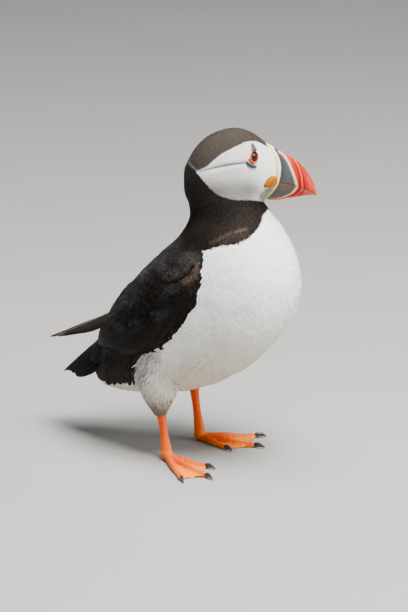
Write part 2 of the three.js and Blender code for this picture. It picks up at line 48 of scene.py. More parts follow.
# ------------------------------------------------------------------ numbers shared with the solids (mm, bird's own frame)
GAP = 0.3
HEAD_YAW = math.radians(35)
NECK_X = 36.0
EYE_F, EYE_Z, EYE_R, EYE_SINK = 17.2, 221.6, 4.0, 2.5
BAND = 3.3
BODY = np.array([
    [17, 212, 50, 213, 13.5], [6.6, 192, 57, 196, 20.3], [9.6, 175, 64, 181, 24.5], [3, 161, 75.5, 167, 32.5],
    [-8.5, 149.5, 85.5, 148, 39.0], [-21, 138, 88.5, 126, 42.5], [-33.5, 125.5, 81.5, 104, 43.5], [-43.5, 112, 67, 84.5, 43.0],
    [-51.5, 98, 46, 65.5, 41.0], [-57.5, 84, 20, 51, 37.0], [-62, 72, -10, 42.5, 31.0], [-67, 63, -36, 39, 23.5], [-72, 54, -56, 38, 14.0]])
HEAD = np.array([
    [-31.5, 208, 195, 4.0], [-29.0, 212.5, 188, 10.0], [-23.5, 223.0, 182, 15.0], [-15.5, 231.6, 179, 18.0], [-5.5, 236.6, 179, 19.4],
    [5.0, 238.3, 180, 19.6], [14.5, 235.8, 182, 18.4], [22.0, 231.2, 184.5, 16.0], [28.0, 226.0, 187, 12.6], [34.0, 221.3, 187.6, 9.6], [40.0, 217.5, 188.4, 8.0]])
BILL = np.array([
    [25.0, 226.6, 187.6, 8.8], [31.0, 223.6, 186.4, 8.6], [36.0, 220.9, 186.8, 8.1], [41.0, 218.0, 187.8, 7.3], [46.0, 215.0, 188.8, 6.4],
    [51.0, 210.6, 189.5, 5.4], [55.0, 205.4, 189.9, 4.4], [58.2, 199.6, 190.0, 3.3], [60.0, 194.8, 189.4, 2.3], [60.9, 191.0, 188.7, 1.2]])
WING = np.array([
    [3.5, 73, 86, 1.6], [3.85, 57, 88, 4.2], [4.6, 42, 90.5, 6.2], [5.6, 32, 94, 6.6], [6.6, 25, 94, 6.2],
    [7.5, 18, 92, 5.6], [8.3, 14, 84, 5.0], [9.0, 11, 68, 4.2], [9.6, 11, 46, 3.2], [10.05, 14, 30, 1.8]])
BLADE_UP = {-1: np.array([0.35, 0.5, 0.79]), 1: np.array([0.35, -0.5, 0.79])}
BLADE = {
    -1: np.array([[-34, -24, 100.0, 4.0, 1.3], [-48, -23.5, 95.0, 6.8, 1.3], [-60, -22, 88.6, 6.4, 1.15], [-73, -19.8, 82.0, 5.0, 0.95], [-86, -17.8, 76.2, 3.2, 0.75], [-98.5, -16, 71.4, 0.8, 0.4]]),
    1: np.array([[-44, 23, 97.0, 4.0, 1.3], [-60, 18, 89.6, 7.0, 1.3], [-73, 12, 82.6, 6.6, 1.15], [-86, 5.5, 76.8, 5.0, 0.95], [-99, -0.3, 71.2, 3.0, 0.75], [-112, -5.5, 66.1, 0.8, 0.4]])}
TAIL = np.array([[-46, 84.0, 17, 5.0, 8], [-59, 76.5, 22, 4.6, 14], [-72, 66.0, 23.5, 3.6, 17], [-84, 56.6, 20, 2.6, 13], [-95, 47.6, 13, 1.7, 6], [-104.4, 39.9, 4, 0.7, 1]])
LEGS = {
    -1: dict(thigh=np.array([[-2, -23, 72, 20, 15], [-4.6, -25, 58, 17, 13.5], [-5.2, -26, 47, 13.2, 11], [-4.6, -26.3, 40, 9.6, 8], [-3.8, -26.4, 35, 6.4, 5.6], [-3.2, -26.4, 31.2, 4.6, 4.3]]),
             ankle=[-3.2, -26.4, 35], root=[2.4, -27.6, 5.6], yaw=-22, toes=[21, 0, -22], len=[34, 49, 47]),
    1: dict(thigh=np.array([[-6, 23, 72, 19, 15], [-9, 24, 59, 15, 13], [-10.5, 25, 50, 11.5, 10.5], [-10.6, 25.5, 43.5, 8.4, 7.6], [-10.2, 25.8, 39.2, 6.0, 5.4], [-9.9, 25.9, 35.9, 4.6, 4.3]]),
            ankle=[-9.9, 25.9, 39.5], root=[-3.4, 24, 5.6], yaw=8, toes=[-27, 0, 31], len=[30, 43.5, 40.5])}
FACE = np.array([
    [29.6, 222.6], [22.6, 228.2], [15.5, 231.4], [8.5, 231.6], [1, 228.8], [-6, 223.6], [-13.6, 217.8],
    [-21.6, 211.8], [-15.0, 204.4], [-7.5, 197.6], [1.5, 192.6], [11, 190.2], [19, 189.2], [25.6, 188.4], [30.5, 190.8], [33.5, 200], [35.5, 210]])
SIDE_NAME = {-1: "right", 1: "left"}


# ------------------------------------------------------------------ small maths
def unit(v):
    return v / np.maximum(np.linalg.norm(v, axis=-1, keepdims=True), 1e-12)


def ease(a, b, x):
    t = np.clip((np.asarray(x, float) - a) / (b - a), 0, 1)
    return t * t * (3 - 2 * t)


def spow(v, p):
    return np.sign(v) * np.abs(v) ** p


def bell(x, w):
    return np.exp(-((x / w) ** 2))


def along(rows, x):
    n = len(rows) - 1
    x = np.clip(np.atleast_1d(np.asarray(x, float)), 0, n)
    i = np.minimum(np.floor(x).astype(int), n - 1)
    f = (x - i)[:, None]
    a, b, d, e = (rows[np.clip(i + k, 0, n)] for k in (-1, 0, 1, 2))
    return 0.5 * (2 * b + (d - a) * f + (2 * a - 5 * b + 4 * d - e) * f ** 2 + (3 * b - a - 3 * d + e) * f ** 3)


FX = np.array([math.cos(HEAD_YAW), math.sin(HEAD_YAW), 0.0])
SX = np.array([math.sin(HEAD_YAW), -math.cos(HEAD_YAW), 0.0])
UPZ = np.array([0.0, 0.0, 1.0])
NECK = np.array([NECK_X, 0.0, 0.0])


def head_point(f, s, z):
    f, s, z = np.broadcast_arrays(np.asarray(f, float), np.asarray(s, float), np.asarray(z, float))
    return NECK + f[..., None] * FX + s[..., None] * SX + z[..., None] * UPZ


def to_head(p):
    q = p - NECK
    return q @ FX, q @ SX, p[..., 2]


def head_row(f):
    """Head section (top, bottom, half width) at a distance forwards."""
    xs = np.linspace(0, len(HEAD) - 1, 401)
    rows = along(HEAD, xs)
    return [np.interp(f, rows[:, 0], rows[:, k]) for k in (1, 2, 3)]


def head_side(f, z):
    top, bottom, w = head_row(f)
    mid = bottom + (top - bottom) * 0.47
    c = np.clip((z - mid) / np.where(z > mid, top - mid, mid - bottom), -1, 1)
    return w * np.where(c > 0, 1 - 0.16 * c * c, 1) * np.sqrt(1 - c * c) ** 0.9


def bill_row(f):
    xs = np.linspace(0, len(BILL) - 1, 401)
    rows = along(BILL, xs)
    return [np.interp(f, rows[:, 0], rows[:, k]) for k in (1, 2, 3)]


def face_line(z):
    return 32.4 - np.where(z > 211, 0.029, 0.0165) * (z - 211) ** 2


def mouth_z(f):
    return 200.6 - 0.12 * (f - 33) - 0.0105 * np.maximum(0, f - 36) ** 2


def body_point(row, deg, grow=0.0, side=1):
    row, deg, grow = np.broadcast_arrays(np.asarray(row, float), np.asarray(deg, float), np.asarray(grow, float))
    sh = row.shape
    r = along(BODY, row.ravel())
    back = np.stack([r[:, 0], 0 * r[:, 0], r[:, 1]], -1)
    front = np.stack([r[:, 2], 0 * r[:, 0], r[:, 3]], -1)
    half = np.linalg.norm(back - front, axis=-1) / 2
    out = unit(back - front)
    q = np.radians(deg.ravel())
    g = grow.ravel() + 0.5
    p = (back + front) / 2 + out * ((half + g) * spow(np.cos(q), 0.96))[:, None]
    p[:, 1] += side * (r[:, 4] + g) * spow(np.sin(q), 0.92)
    return p.reshape(*sh, 3)


def wing_point(x, u, grow, side):
    """Point of a folded wing's outer face: row of the WING table, 0 upper edge to 1 lower edge."""
    x, u = np.broadcast_arrays(np.asarray(x, float), np.asarray(u, float))
    r = along(WING, x.ravel())
    uu = u.ravel()
    deg = r[:, 1] + (r[:, 2] - r[:, 1]) * uu
    lift = np.maximum(0, 1 - (2 * uu - 1) ** 2) ** 0.55
    p = body_point(r[:, 0], deg, GAP + 0.05 + r[:, 3] * lift + grow, side)
    return p.reshape(*x.shape, 3)


def tail_point(x, phi, grow=0.0, over=1.0):
    """Point of the tail's arched face: row of the TAIL table, -1 one side to 1 the other."""
    x, phi = np.broadcast_arrays(np.asarray(x, float), np.asarray(phi, float))
    r = along(TAIL, x.ravel())
    ph = phi.ravel()
    up = np.array([-0.62, 0, 0.78])
    p = np.stack([r[:, 0], r[:, 2] * ph, r[:, 1]], -1)
    p += up * (over * (r[:, 3] + grow) * np.sqrt(np.maximum(0, 1 - ph ** 2)) - r[:, 4] * ph ** 2)[:, None]
    return p.reshape(*x.shape, 3)


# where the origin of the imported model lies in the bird's own frame
eye_lo, eye_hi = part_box("eye_right")
eye_mid = np.array([(a + b) / 2 for a, b in zip(eye_lo, eye_hi)]) * 1000
SHIFT = eye_mid - head_point(EYE_F, float(head_side(EYE_F, EYE_Z)) - EYE_SINK, EYE_Z)
SHIFT[2] = 0.0


def make(name, verts, faces, mat=None, col=None, uvs=None, normals=None, smooth=True):
    """A mesh object from millimetre points in the bird's frame. faces is an int array, n by 3 or 4, or a list of such arrays."""
    if not isinstance(faces, list):
        faces = [faces]
    me = bpy.data.meshes.new(name)
    v = ((np.asarray(verts, float) + SHIFT) / 1000.0).astype(np.float32)
    me.vertices.add(len(v))
    me.vertices.foreach_set("co", v.ravel())
    loops = np.concatenate([np.asarray(f, np.int32).ravel() for f in faces])
    totals = np.concatenate([np.full(len(f), f.shape[1], np.int32) for f in faces])
    starts = np.concatenate([[0], np.cumsum(totals)[:-1]]).astype(np.int32)
    me.loops.add(len(loops))
    me.loops.foreach_set("vertex_index", loops)
    me.polygons.add(len(totals))
    me.polygons.foreach_set("loop_start", starts)
    me.update(calc_edges=True)
    me.polygons.foreach_set("use_smooth", np.full(len(totals), smooth, bool))
    if col is not None:
        a = me.color_attributes.new(name="Col", type="FLOAT_COLOR", domain="POINT")
        rgba = np.ones((len(v), 4), np.float32)
        rgba[:, :3] = np.clip(col, 0, 1)
        a.data.foreach_set("color", rgba.ravel())
    for uname, uv in (uvs or {}).items():
        lay_ = me.uv_layers.new(name=uname)
        per = np.asarray(uv, np.float32)
        if len(per) == len(v):
            per = per[loops]
        lay_.data.foreach_set("uv", per.ravel())
    if normals is not None:
        me.normals_split_custom_set_from_vertices(unit(np.asarray(normals)).tolist())
    me.update()
    ob = bpy.data.objects.new(name, me)
    bpy.context.scene.collection.objects.link(ob)
    if mat is not None:
        me.materials.append(mat)
    return ob


def grid_faces(rows, cols, closed=True):
    i, j = np.meshgrid(np.arange(rows - 1), np.arange(cols if closed else cols - 1), indexing="ij")
    a = i * cols + j
    b = i * cols + (j + 1) % cols
    return np.stack([a, b, b + cols, a + cols], -1).reshape(-1, 4)


def loft(rings):
    """Closed solid through rings (rows, columns, 3): points and faces, ends closed on their middles."""
    R, C, _ = rings.shape
    v = np.concatenate([rings.reshape(-1, 3), rings[0].mean(0)[None], rings[-1].mean(0)[None]])
    quads = grid_faces(R, C)
    j = np.arange(C)
    k = (j + 1) % C
    caps = np.concatenate([np.stack([np.full(C, R * C), k, j], -1), np.stack([np.full(C, R * C + 1), (R - 1) * C + j, (R - 1) * C + k], -1)])
    # outward
    c = v.mean(0)
    a, b, d = v[quads[:, 0]], v[quads[:, 1]], v[quads[:, 2]]
    if np.einsum("ij,ij->i", np.cross(b - a, d - a), (a + b + d) / 3 - c).sum() < 0:
        quads = quads[:, ::-1]
        caps = caps[:, ::-1]
    return v, [quads, caps]


def joined(parts):
    vs, q, t, n = [], [], [], 0
    for v, (a, b) in parts:
        vs.append(v)
        q.append(a + n)
        t.append(b + n)
        n += len(v)
    return np.concatenate(vs), [np.concatenate(q), np.concatenate(t)]


def remeshed(name, parts, voxel):
    """One closed mesh round overlapping solids: points in millimetres and quads."""
    v, f = joined(parts)
    ob = make(name, v, f)
    m = ob.modifiers.new("r", "REMESH")
    m.mode = "VOXEL"
    m.voxel_size = voxel / 1000.0
    m.use_smooth_shade = True
    deps = bpy.context.evaluated_depsgraph_get()
    me = bpy.data.meshes.new_from_object(ob.evaluated_get(deps))
    pts = np.empty(len(me.vertices) * 3, np.float32)
    me.vertices.foreach_get("co", pts)
    pts = pts.reshape(-1, 3).astype(float) * 1000 - SHIFT
    q = np.empty(len(me.loops), np.int32)
    me.loops.foreach_get("vertex_index", q)
    q = q.reshape(-1, 4)
    bpy.data.objects.remove(ob)
    bpy.data.meshes.remove(me)
    # largest closed piece only
    lab = np.arange(len(pts))
    e = np.concatenate([q[:, [0, 1]], q[:, [1, 2]], q[:, [2, 3]], q[:, [3, 0]]])
    while True:
        new = lab.copy()
        np.minimum.at(new, e[:, 0], lab[e[:, 1]])
        np.minimum.at(new, e[:, 1], lab[e[:, 0]])
        new = new[new]
        if (new == lab).all():
            break
        lab = new
    keep = lab == np.bincount(lab).argmax()
    idx = np.cumsum(keep) - 1
    return pts[keep], idx[q[keep[q[:, 0]]]]


class Skin:
    """Points, quads and what the rest needs of them."""

    def __init__(self, v, q):
        self.v, self.q = v, q
        e = np.concatenate([q[:, [0, 1]], q[:, [1, 2]], q[:, [2, 3]], q[:, [3, 0]]])
        e = np.unique(np.sort(e, 1), axis=0)
        self.e = e
        self.deg = np.bincount(e.ravel(), minlength=len(v)).astype(float)
        self.refresh()

    def spread(self, x, times=1, keep=0.5):
        """Averages a per-point quantity with its neighbours."""
        x = np.asarray(x, float)
        flat = x.reshape(len(self.v), -1)
        for _ in range(times):
            s = np.zeros_like(flat)
            for k in range(flat.shape[1]):
                s[:, k] = np.bincount(self.e[:, 0], flat[self.e[:, 1], k], len(flat)) + np.bincount(self.e[:, 1], flat[self.e[:, 0], k], len(flat))
            flat = keep * flat + (1 - keep) * s / self.deg[:, None]
        return flat.reshape(x.shape)

    def refresh(self):
        v, q = self.v, self.q
        n = np.cross(v[q[:, 2]] - v[q[:, 0]], v[q[:, 3]] - v[q[:, 1]])
        vn = np.zeros_like(v)
        for k in range(4):
            for c in range(3):
                vn[:, c] += np.bincount(q[:, k], n[:, c], len(v))
        self.n = unit(vn)
        self.tri = np.concatenate([q[:, [0, 1, 2]], q[:, [0, 2, 3]]])

    def tree(self):
        return BVHTree.FromPolygons(self.v.tolist(), self.tri.tolist())


# ------------------------------------------------------------------ the skin's shape
COAT = 1.0  # depth of the coat over the body


def body_rings(grow):
    rows = np.linspace(0, 12, 90)
    degs = np.arange(0, 360, 5.0)
    g = grow * (0.55 + 0.45 * ease(1.5, 4, rows))
    rings = [body_point(rows[i], degs, g[i]) for i in range(len(rows))]
    last = rings[-1]
    c = last.mean(0)
    for k, s in ((2.5, 0.8), (4, 0.5), (4.6, 0.2)):
        rings.append((last - c) * s + c + np.array([-0.86, 0, -0.5]) * k)
    return np.array(rings)


def head_rings(shrink):
    f = np.concatenate([np.linspace(-31.0 + shrink, 38, 60)])
    q = np.radians(np.arange(0, 360, 6.0))
    out = []
    for x in f:
        top, bottom, w = head_row(x)
        top, bottom, w = top - shrink, bottom + shrink, max(w - shrink, 1.0)
        mid = bottom + (top - bottom) * 0.47
        c = np.cos(q)
        reach = np.where(c > 0, top - mid, mid - bottom)
        narrow = np.where(c > 0, 1 - 0.16 * c * c, 1)
        s = w * narrow * spow(np.sin(q), 0.9)
        ff = np.full_like(q, x)
        # nothing of the head stands ahead of the line where the bill starts
        z = mid + reach * c
        ff = np.minimum(ff, face_line(z) + 0.6)
        out.append(head_point(ff, s, z))
    return np.array(out)


def wing_rings(side, grow):
    rows = np.linspace(0, 9, 60)
    u = np.linspace(0, 1, 26)
    r = along(WING, rows)
    out = []
    for i in range(len(rows)):
        outer = wing_point(rows[i], u, grow, side)
        inner = body_point(r[i, 0], r[i, 1] + (r[i, 2] - r[i, 1]) * u[::-1], -5.0, side)
        out.append(np.concatenate([outer, inner]))
    return np.array(out)


def thigh_rings(side, shrink):
    rows = along(LEGS[side]["thigh"], np.linspace(0, 5, 26))
    q = np.radians(np.arange(0, 360, 12.0))
    return np.array([np.stack([x + max(a - shrink, 2.2) * np.cos(q), y + max(b - shrink, 2.2) * np.sin(q), np.full_like(q, z)], -1) for x, y, z, a, b in rows])


def tail_rings(shrink):
    q = np.radians(np.arange(0, 360, 9.0))
    out = []
    for x in np.linspace(0, 2.1, 20):
        phi = np.sin(q) * 0.86
        up = tail_point(x, phi, -shrink, 1.0)
        down = tail_point(x, phi, -shrink, -1.0)
        out.append(np.where((np.cos(q) > 0)[:, None], up, down))
    return np.array(out)


parts = [loft(body_rings(-COAT)), loft(head_rings(0.6))]
for sd in (-1, 1):
    parts.append(loft(wing_rings(sd, -0.9)))
    parts.append(loft(thigh_rings(sd, 1.0)))
parts.append(loft(tail_rings(1.0)))
sv, sq = remeshed("skin_form", parts, 1.35)
skin = Skin(sv, sq)

# soften the joins of head, neck, wings and thighs
f0, s0, z0 = to_head(skin.v)
neckish = ease(170, 180, z0) * (1 - ease(203, 212, z0)) * (1 - ease(20, 27, f0))
soft = np.clip(0.35 + neckish, 0, 1)
for k in range(26):
    amount = (soft if k < 6 else neckish)[:, None]
    skin.v = skin.v + amount * (skin.spread(skin.v, 1, 0.5) - skin.v)
skin.refresh()

# the furrow in the feathers behind the eye, and the hollow round the eye
f0, s0, z0 = to_head(skin.v)
CREASE = np.array([[-20.5, 210.9], [-18.8, 211.3], [-14.1, 212.8], [-8.6, 214.5], [-3.1, 215.7], [2.3, 216.5], [7.8, 217.1], [12.0, 217.5]])
on_head = (z0 > 188) & (np.abs(s0) > 5)


def crease_gap(f, z):
    zc = np.interp(f, CREASE[:, 0], CREASE[:, 1])
    out = np.maximum(0, np.maximum(CREASE[0, 0] - f, f - CREASE[-1, 0]))
    return np.sqrt((z - zc) ** 2 + (1.5 * out) ** 2), (z - zc)


cd, cs = crease_gap(f0, z0)
depth = on_head * (0.95 * bell(cd, 1.3) * ease(-24, -10, f0) - 0.25 * bell(cs + 2.4, 2.0) * ease(-18, -5, f0) * (1 - ease(8, 14, f0)))
ed = np.hypot((f0 - EYE_F) / 1.0, (z0 - EYE_Z) / 1.2)
depth += on_head * 0.5 * bell(ed, 5.0)
FOLD_LINE = np.array([[32.7, 41.8, 148.8], [31.6, 43.2, 145.4], [29.9, 44.3, 142.9], [27.2, 45.2, 140.9], [23.6, 46.0, 138.7], [18.9, 46.3, 137.0], [12.8, 45.9, 135.7], [5.0, 45.0, 135.0]])


def fold_gap(p):
    """Distance from the lower edge of the shoulder feathers, how far along it, and whether above it."""
    q_ = p.copy()
    q_[:, 1] = np.abs(q_[:, 1])
    best = np.full(len(p), 1e9)
    along_ = np.zeros(len(p))
    above_ = np.zeros(len(p))
    for i_ in range(len(FOLD_LINE) - 1):
        a_, b_ = FOLD_LINE[i_], FOLD_LINE[i_ + 1]
        ab_ = b_ - a_
        t_ = np.clip((q_ - a_) @ ab_ / (ab_ @ ab_), 0, 1)
        c_ = a_ + t_[:, None] * ab_
        d_ = np.linalg.norm(q_ - c_, axis=1)
        up_ = (q_ - c_) @ unit(np.array([-0.35, 0.0, 1.0]))
        nearer = d_ < best
        best = np.where(nearer, d_, best)
        along_ = np.where(nearer, (i_ + t_) / (len(FOLD_LINE) - 1), along_)
        above_ = np.where(nearer, up_, above_)
    return best, along_, np.sign(above_)


gd, ga, gs = fold_gap(skin.v)
fade_ = 1 - ease(0.55, 1.0, ga)
depth += fade_ * np.where(gs < 0, 0.75 * bell(gd - 0.9, 1.1), -0.75 * bell(gd - 1.6, 2.2))
lump = np.array([0.5 * noise.noise(Vector(p_ / 13.0)) + 0.22 * noise.noise(Vector(p_ / 6.0 + 9.0)) for p_ in skin.v])
depth += lump * (0.9 * ease(160, 140, skin.v[:, 2]) + 0.25 * ease(190, 170, skin.v[:, 2]))
skin.v = skin.v - skin.n * depth[:, None]
skin.refresh()

# ------------------------------------------------------------------ where each point of the skin lies on the bird
grid_row = np.linspace(0, 12, 241)
grid_deg = np.linspace(0, 180, 91)
RR, DD = np.meshgrid(grid_row, grid_deg, indexing="ij")
body_pts = body_point(RR, DD, -COAT).reshape(-1, 3)
kd = KDTree(len(body_pts))
for i, p in enumerate(body_pts):
    kd.insert(p, i)
kd.balance()
folded = skin.v.copy()
folded[:, 1] = np.abs(folded[:, 1])
near = np.array([kd.find(p)[1] for p in folded])
row = skin.spread(RR.ravel()[near], 4)
deg = skin.spread(DD.ravel()[near], 4)

region = {}
kinds = [("head", head_rings(0.6).reshape(-1, 3)), ("body", None)]
labels = []
pts = []
extra = []
bp = body_point(*np.meshgrid(np.linspace(0, 12, 121), np.linspace(0, 360, 121), indexing="ij"), -COAT).reshape(-1, 3)
pts.append(bp); labels.append(np.zeros(len(bp), int)); extra.append(np.zeros((len(bp), 2)))
hp = head_rings(0.6).reshape(-1, 3)
pts.append(hp); labels.append(np.ones(len(hp), int)); extra.append(np.zeros((len(hp), 2)))
for sd in (-1, 1):
    X, U = np.meshgrid(np.linspace(0, 9, 90), np.linspace(0, 1, 46), indexing="ij")
    wp = wing_point(X, U, -0.9, sd).reshape(-1, 3)
    pts.append(wp); labels.append(np.full(len(wp), 2)); extra.append(np.stack([X.ravel(), U.ravel()], -1))
    tp = thigh_rings(sd, 1.0)[6:].reshape(-1, 3)
    pts.append(tp); labels.append(np.full(len(tp), 3)); extra.append(np.zeros((len(tp), 2)))
tl = tail_rings(1.0)[4:].reshape(-1, 3)
pts.append(tl); labels.append(np.full(len(tl), 4)); extra.append(np.zeros((len(tl), 2)))
pts, labels, extra = np.concatenate(pts), np.concatenate(labels), np.concatenate(extra)
kd = KDTree(len(pts))
for i, p in enumerate(pts):
    kd.insert(p, i)
kd.balance()
near = np.array([kd.find(p)[1] for p in skin.v])
label = labels[near]
wx, wu = extra[near].T
is_head = (skin.spread((label == 1).astype(float), 6) * ease(176, 186, skin.v[:, 2]))
is_wing = skin.spread((label == 2).astype(float), 2)
is_thigh = skin.spread((label == 3).astype(float), 4) * (skin.v[:, 2] < 66)
is_tail = skin.spread((label == 4).astype(float), 3)
wx = skin.spread(wx, 2)
wu = skin.spread(wu, 2)

# ------------------------------------------------------------------ lie of the coat
d = 0.05
side_sign = np.where(skin.v[:, 1] < 0, -1.0, 1.0)


def body_flow(r, dg, sgn):
    a = body_point(np.clip(r, 0, 12 - d), dg, 0)
    b = body_point(np.clip(r, 0, 12 - d) + d, dg, 0)
    t = unit(b - a)
    t[:, 1] *= sgn
    return t


flow = body_flow(row, deg, side_sign)
alpha = np.radians(12 + 66 * ease(2, -24, f0) + 35 * ease(205, 190, z0))
head_flow = -FX * np.cos(alpha)[:, None] - UPZ * np.sin(alpha)[:, None]
flow = flow * (1 - is_head)[:, None] + head_flow * is_head[:, None]
wing_axis = np.stack([np.full(len(flow), -83.0), -side_sign * 16, np.full(len(flow), -66.0)], -1)
wing_flow = unit(wing_axis)
wing_flow = unit(wing_flow + 0.28 * (wu - 0.45)[:, None] * np.array([0.3, 0, -0.95]) * 1.0)
flow = flow * (1 - is_wing)[:, None] + wing_flow * is_wing[:, None]
thigh_flow = unit(np.array([-0.22, 0, -1.0]))
flow = flow * (1 - is_thigh)[:, None] + thigh_flow * is_thigh[:, None]
tail_flow = unit(np.array([-0.8, 0, -0.6]))
flow = flow * (1 - is_tail)[:, None] + tail_flow * is_tail[:, None]
plume = ease(7.7, 8.5, row) * (1 - ease(10.5, 11.3, row)) * ease(48, 66, deg) * (1 - is_wing)
flow = unit(flow) * (1 - 0.7 * plume)[:, None] + unit(np.array([-0.42, 0, -0.9])) * 0.7 * plume[:, None]
flow = skin.spread(unit(flow), 6)
flow = unit(flow - skin.n * np.einsum("ij,ij->i", flow, skin.n)[:, None])

# ------------------------------------------------------------------ markings
WHITE = np.array([0.88, 0.875, 0.85])
GREYW = np.array([0.60, 0.585, 0.55])
BLACK = np.array([0.0085, 0.0070, 0.0062])
BROWN = np.array([0.045, 0.029, 0.020])
CAP = np.array([0.039, 0.031, 0.0235])
PALE = np.array([0.60, 0.60, 0.575])
FACEW = np.array([0.80, 0.80, 0.78])
CHIN = np.array([0.22, 0.205, 0.185])


FACE_EDGE = np.array([
    [33.5, 215.0], [30.2, 220.7], [27.7, 224.3], [23.4, 227.4], [19.2, 229.8], [15.0, 230.7], [10.8, 230.3], [6.6, 228.9], [2.5, 227.2], [-1.7, 225.2],
    [-5.8, 222.9], [-9.9, 219.7], [-13.4, 216.5], [-16.8, 214.0], [-20.2, 212.0], [-22.5, 210.4], [-22.0, 209.5], [-20.2, 208.0], [-18.2, 205.4], [-16.1, 203.0],
    [-13.4, 200.0], [-10.7, 197.3], [-7.9, 195.4], [-4.6, 194.0], [-0.5, 193.0], [3.6, 192.3], [7.7, 191.9], [13.3, 191.3], [17.6, 190.4], [21.9, 188.6],
    [25.5, 186.0], [30.0, 187.0], [35.0, 196.0], [36.5, 206.0]])


def face_curve(n=204):
    P = FACE_EDGE
    m = len(P)
    t = np.linspace(0, m, n, endpoint=False)
    i = np.floor(t).astype(int)
    f = (t - i)[:, None]
    a, b, c, e = (P[(i + k) % m] for k in (-1, 0, 1, 2))
    return 0.5 * (2 * b + (c - a) * f + (2 * a - 5 * b + 4 * c - e) * f ** 2 + (3 * b - a - 3 * c + e) * f ** 3)


FC = face_curve()


def face_distance(f, z):
    """Distance from the pale face's outline, positive inside."""
    best = np.full(len(f), 1e9)
    inside = np.zeros(len(f), bool)
    for i in range(len(FC)):
        a, b = FC[i], FC[(i + 1) % len(FC)]
        ab = b - a
        t = np.clip(((f - a[0]) * ab[0] + (z - a[1]) * ab[1]) / (ab @ ab), 0, 1)
        best = np.minimum(best, np.hypot(f - a[0] - t * ab[0], z - a[1] - t * ab[1]))
        cross = ((a[1] > z) != (b[1] > z)) & (f < (b[0] - a[0]) * (z - a[1]) / (b[1] - a[1] + 1e-12) + a[0])
        inside ^= cross
    return np.where(inside, best, -best)


COLLAR_DEG = np.array([84.7, 89.3, 100.4, 111, 122.7, 135.3, 148, 159.4, 169.7, 177.9])
COLLAR_ROW = np.array([3.46, 3.34, 3.19, 3.10, 3.07, 2.93, 2.71, 2.50, 2.28, 2.11])
FOLD_ROW = np.interp(COLLAR_DEG, [84, 91.3, 95.3, 102.2, 108.4, 115.2, 122.2, 134, 139.7, 152, 178], [3.3, 3.18, 3.01, 2.86, 2.74, 2.67, 2.59, 2.51, 2.56, 2.45, 2.0])
FLANK_ROW = np.array([3.3, 3.85, 4.26, 4.62, 4.99, 5.45, 5.88, 6.36, 6.79, 7.07, 7.37, 7.69, 8.05, 8.51, 9.02, 9.4, 9.9, 10.12, 10.79, 11.6, 12.0])
FLANK_DEG = np.array([84, 84.8, 85.2, 87.8, 90.1, 91.9, 93.2, 93.2, 92.0, 89.5, 88.3, 86.1, 85.0, 87.0, 93, 99, 108, 110, 110, 100, 97.0])


def collar_limit(p, dg):
    """Row of the collar's lower edge; it rides higher round the far side of the turned neck."""
    near = np.interp(dg, COLLAR_DEG, COLLAR_ROW)
    far = np.interp(dg, [92, 104, 111, 122, 132, 142, 152, 165, 177], [4.2, 3.3, 3.0, 2.72, 2.4, 2.12, 1.98, 1.96, 2.05])
    k = ease(-1.5, 1.5, p[:, 1])
    return near * (1 - k) + np.minimum(near, far) * k


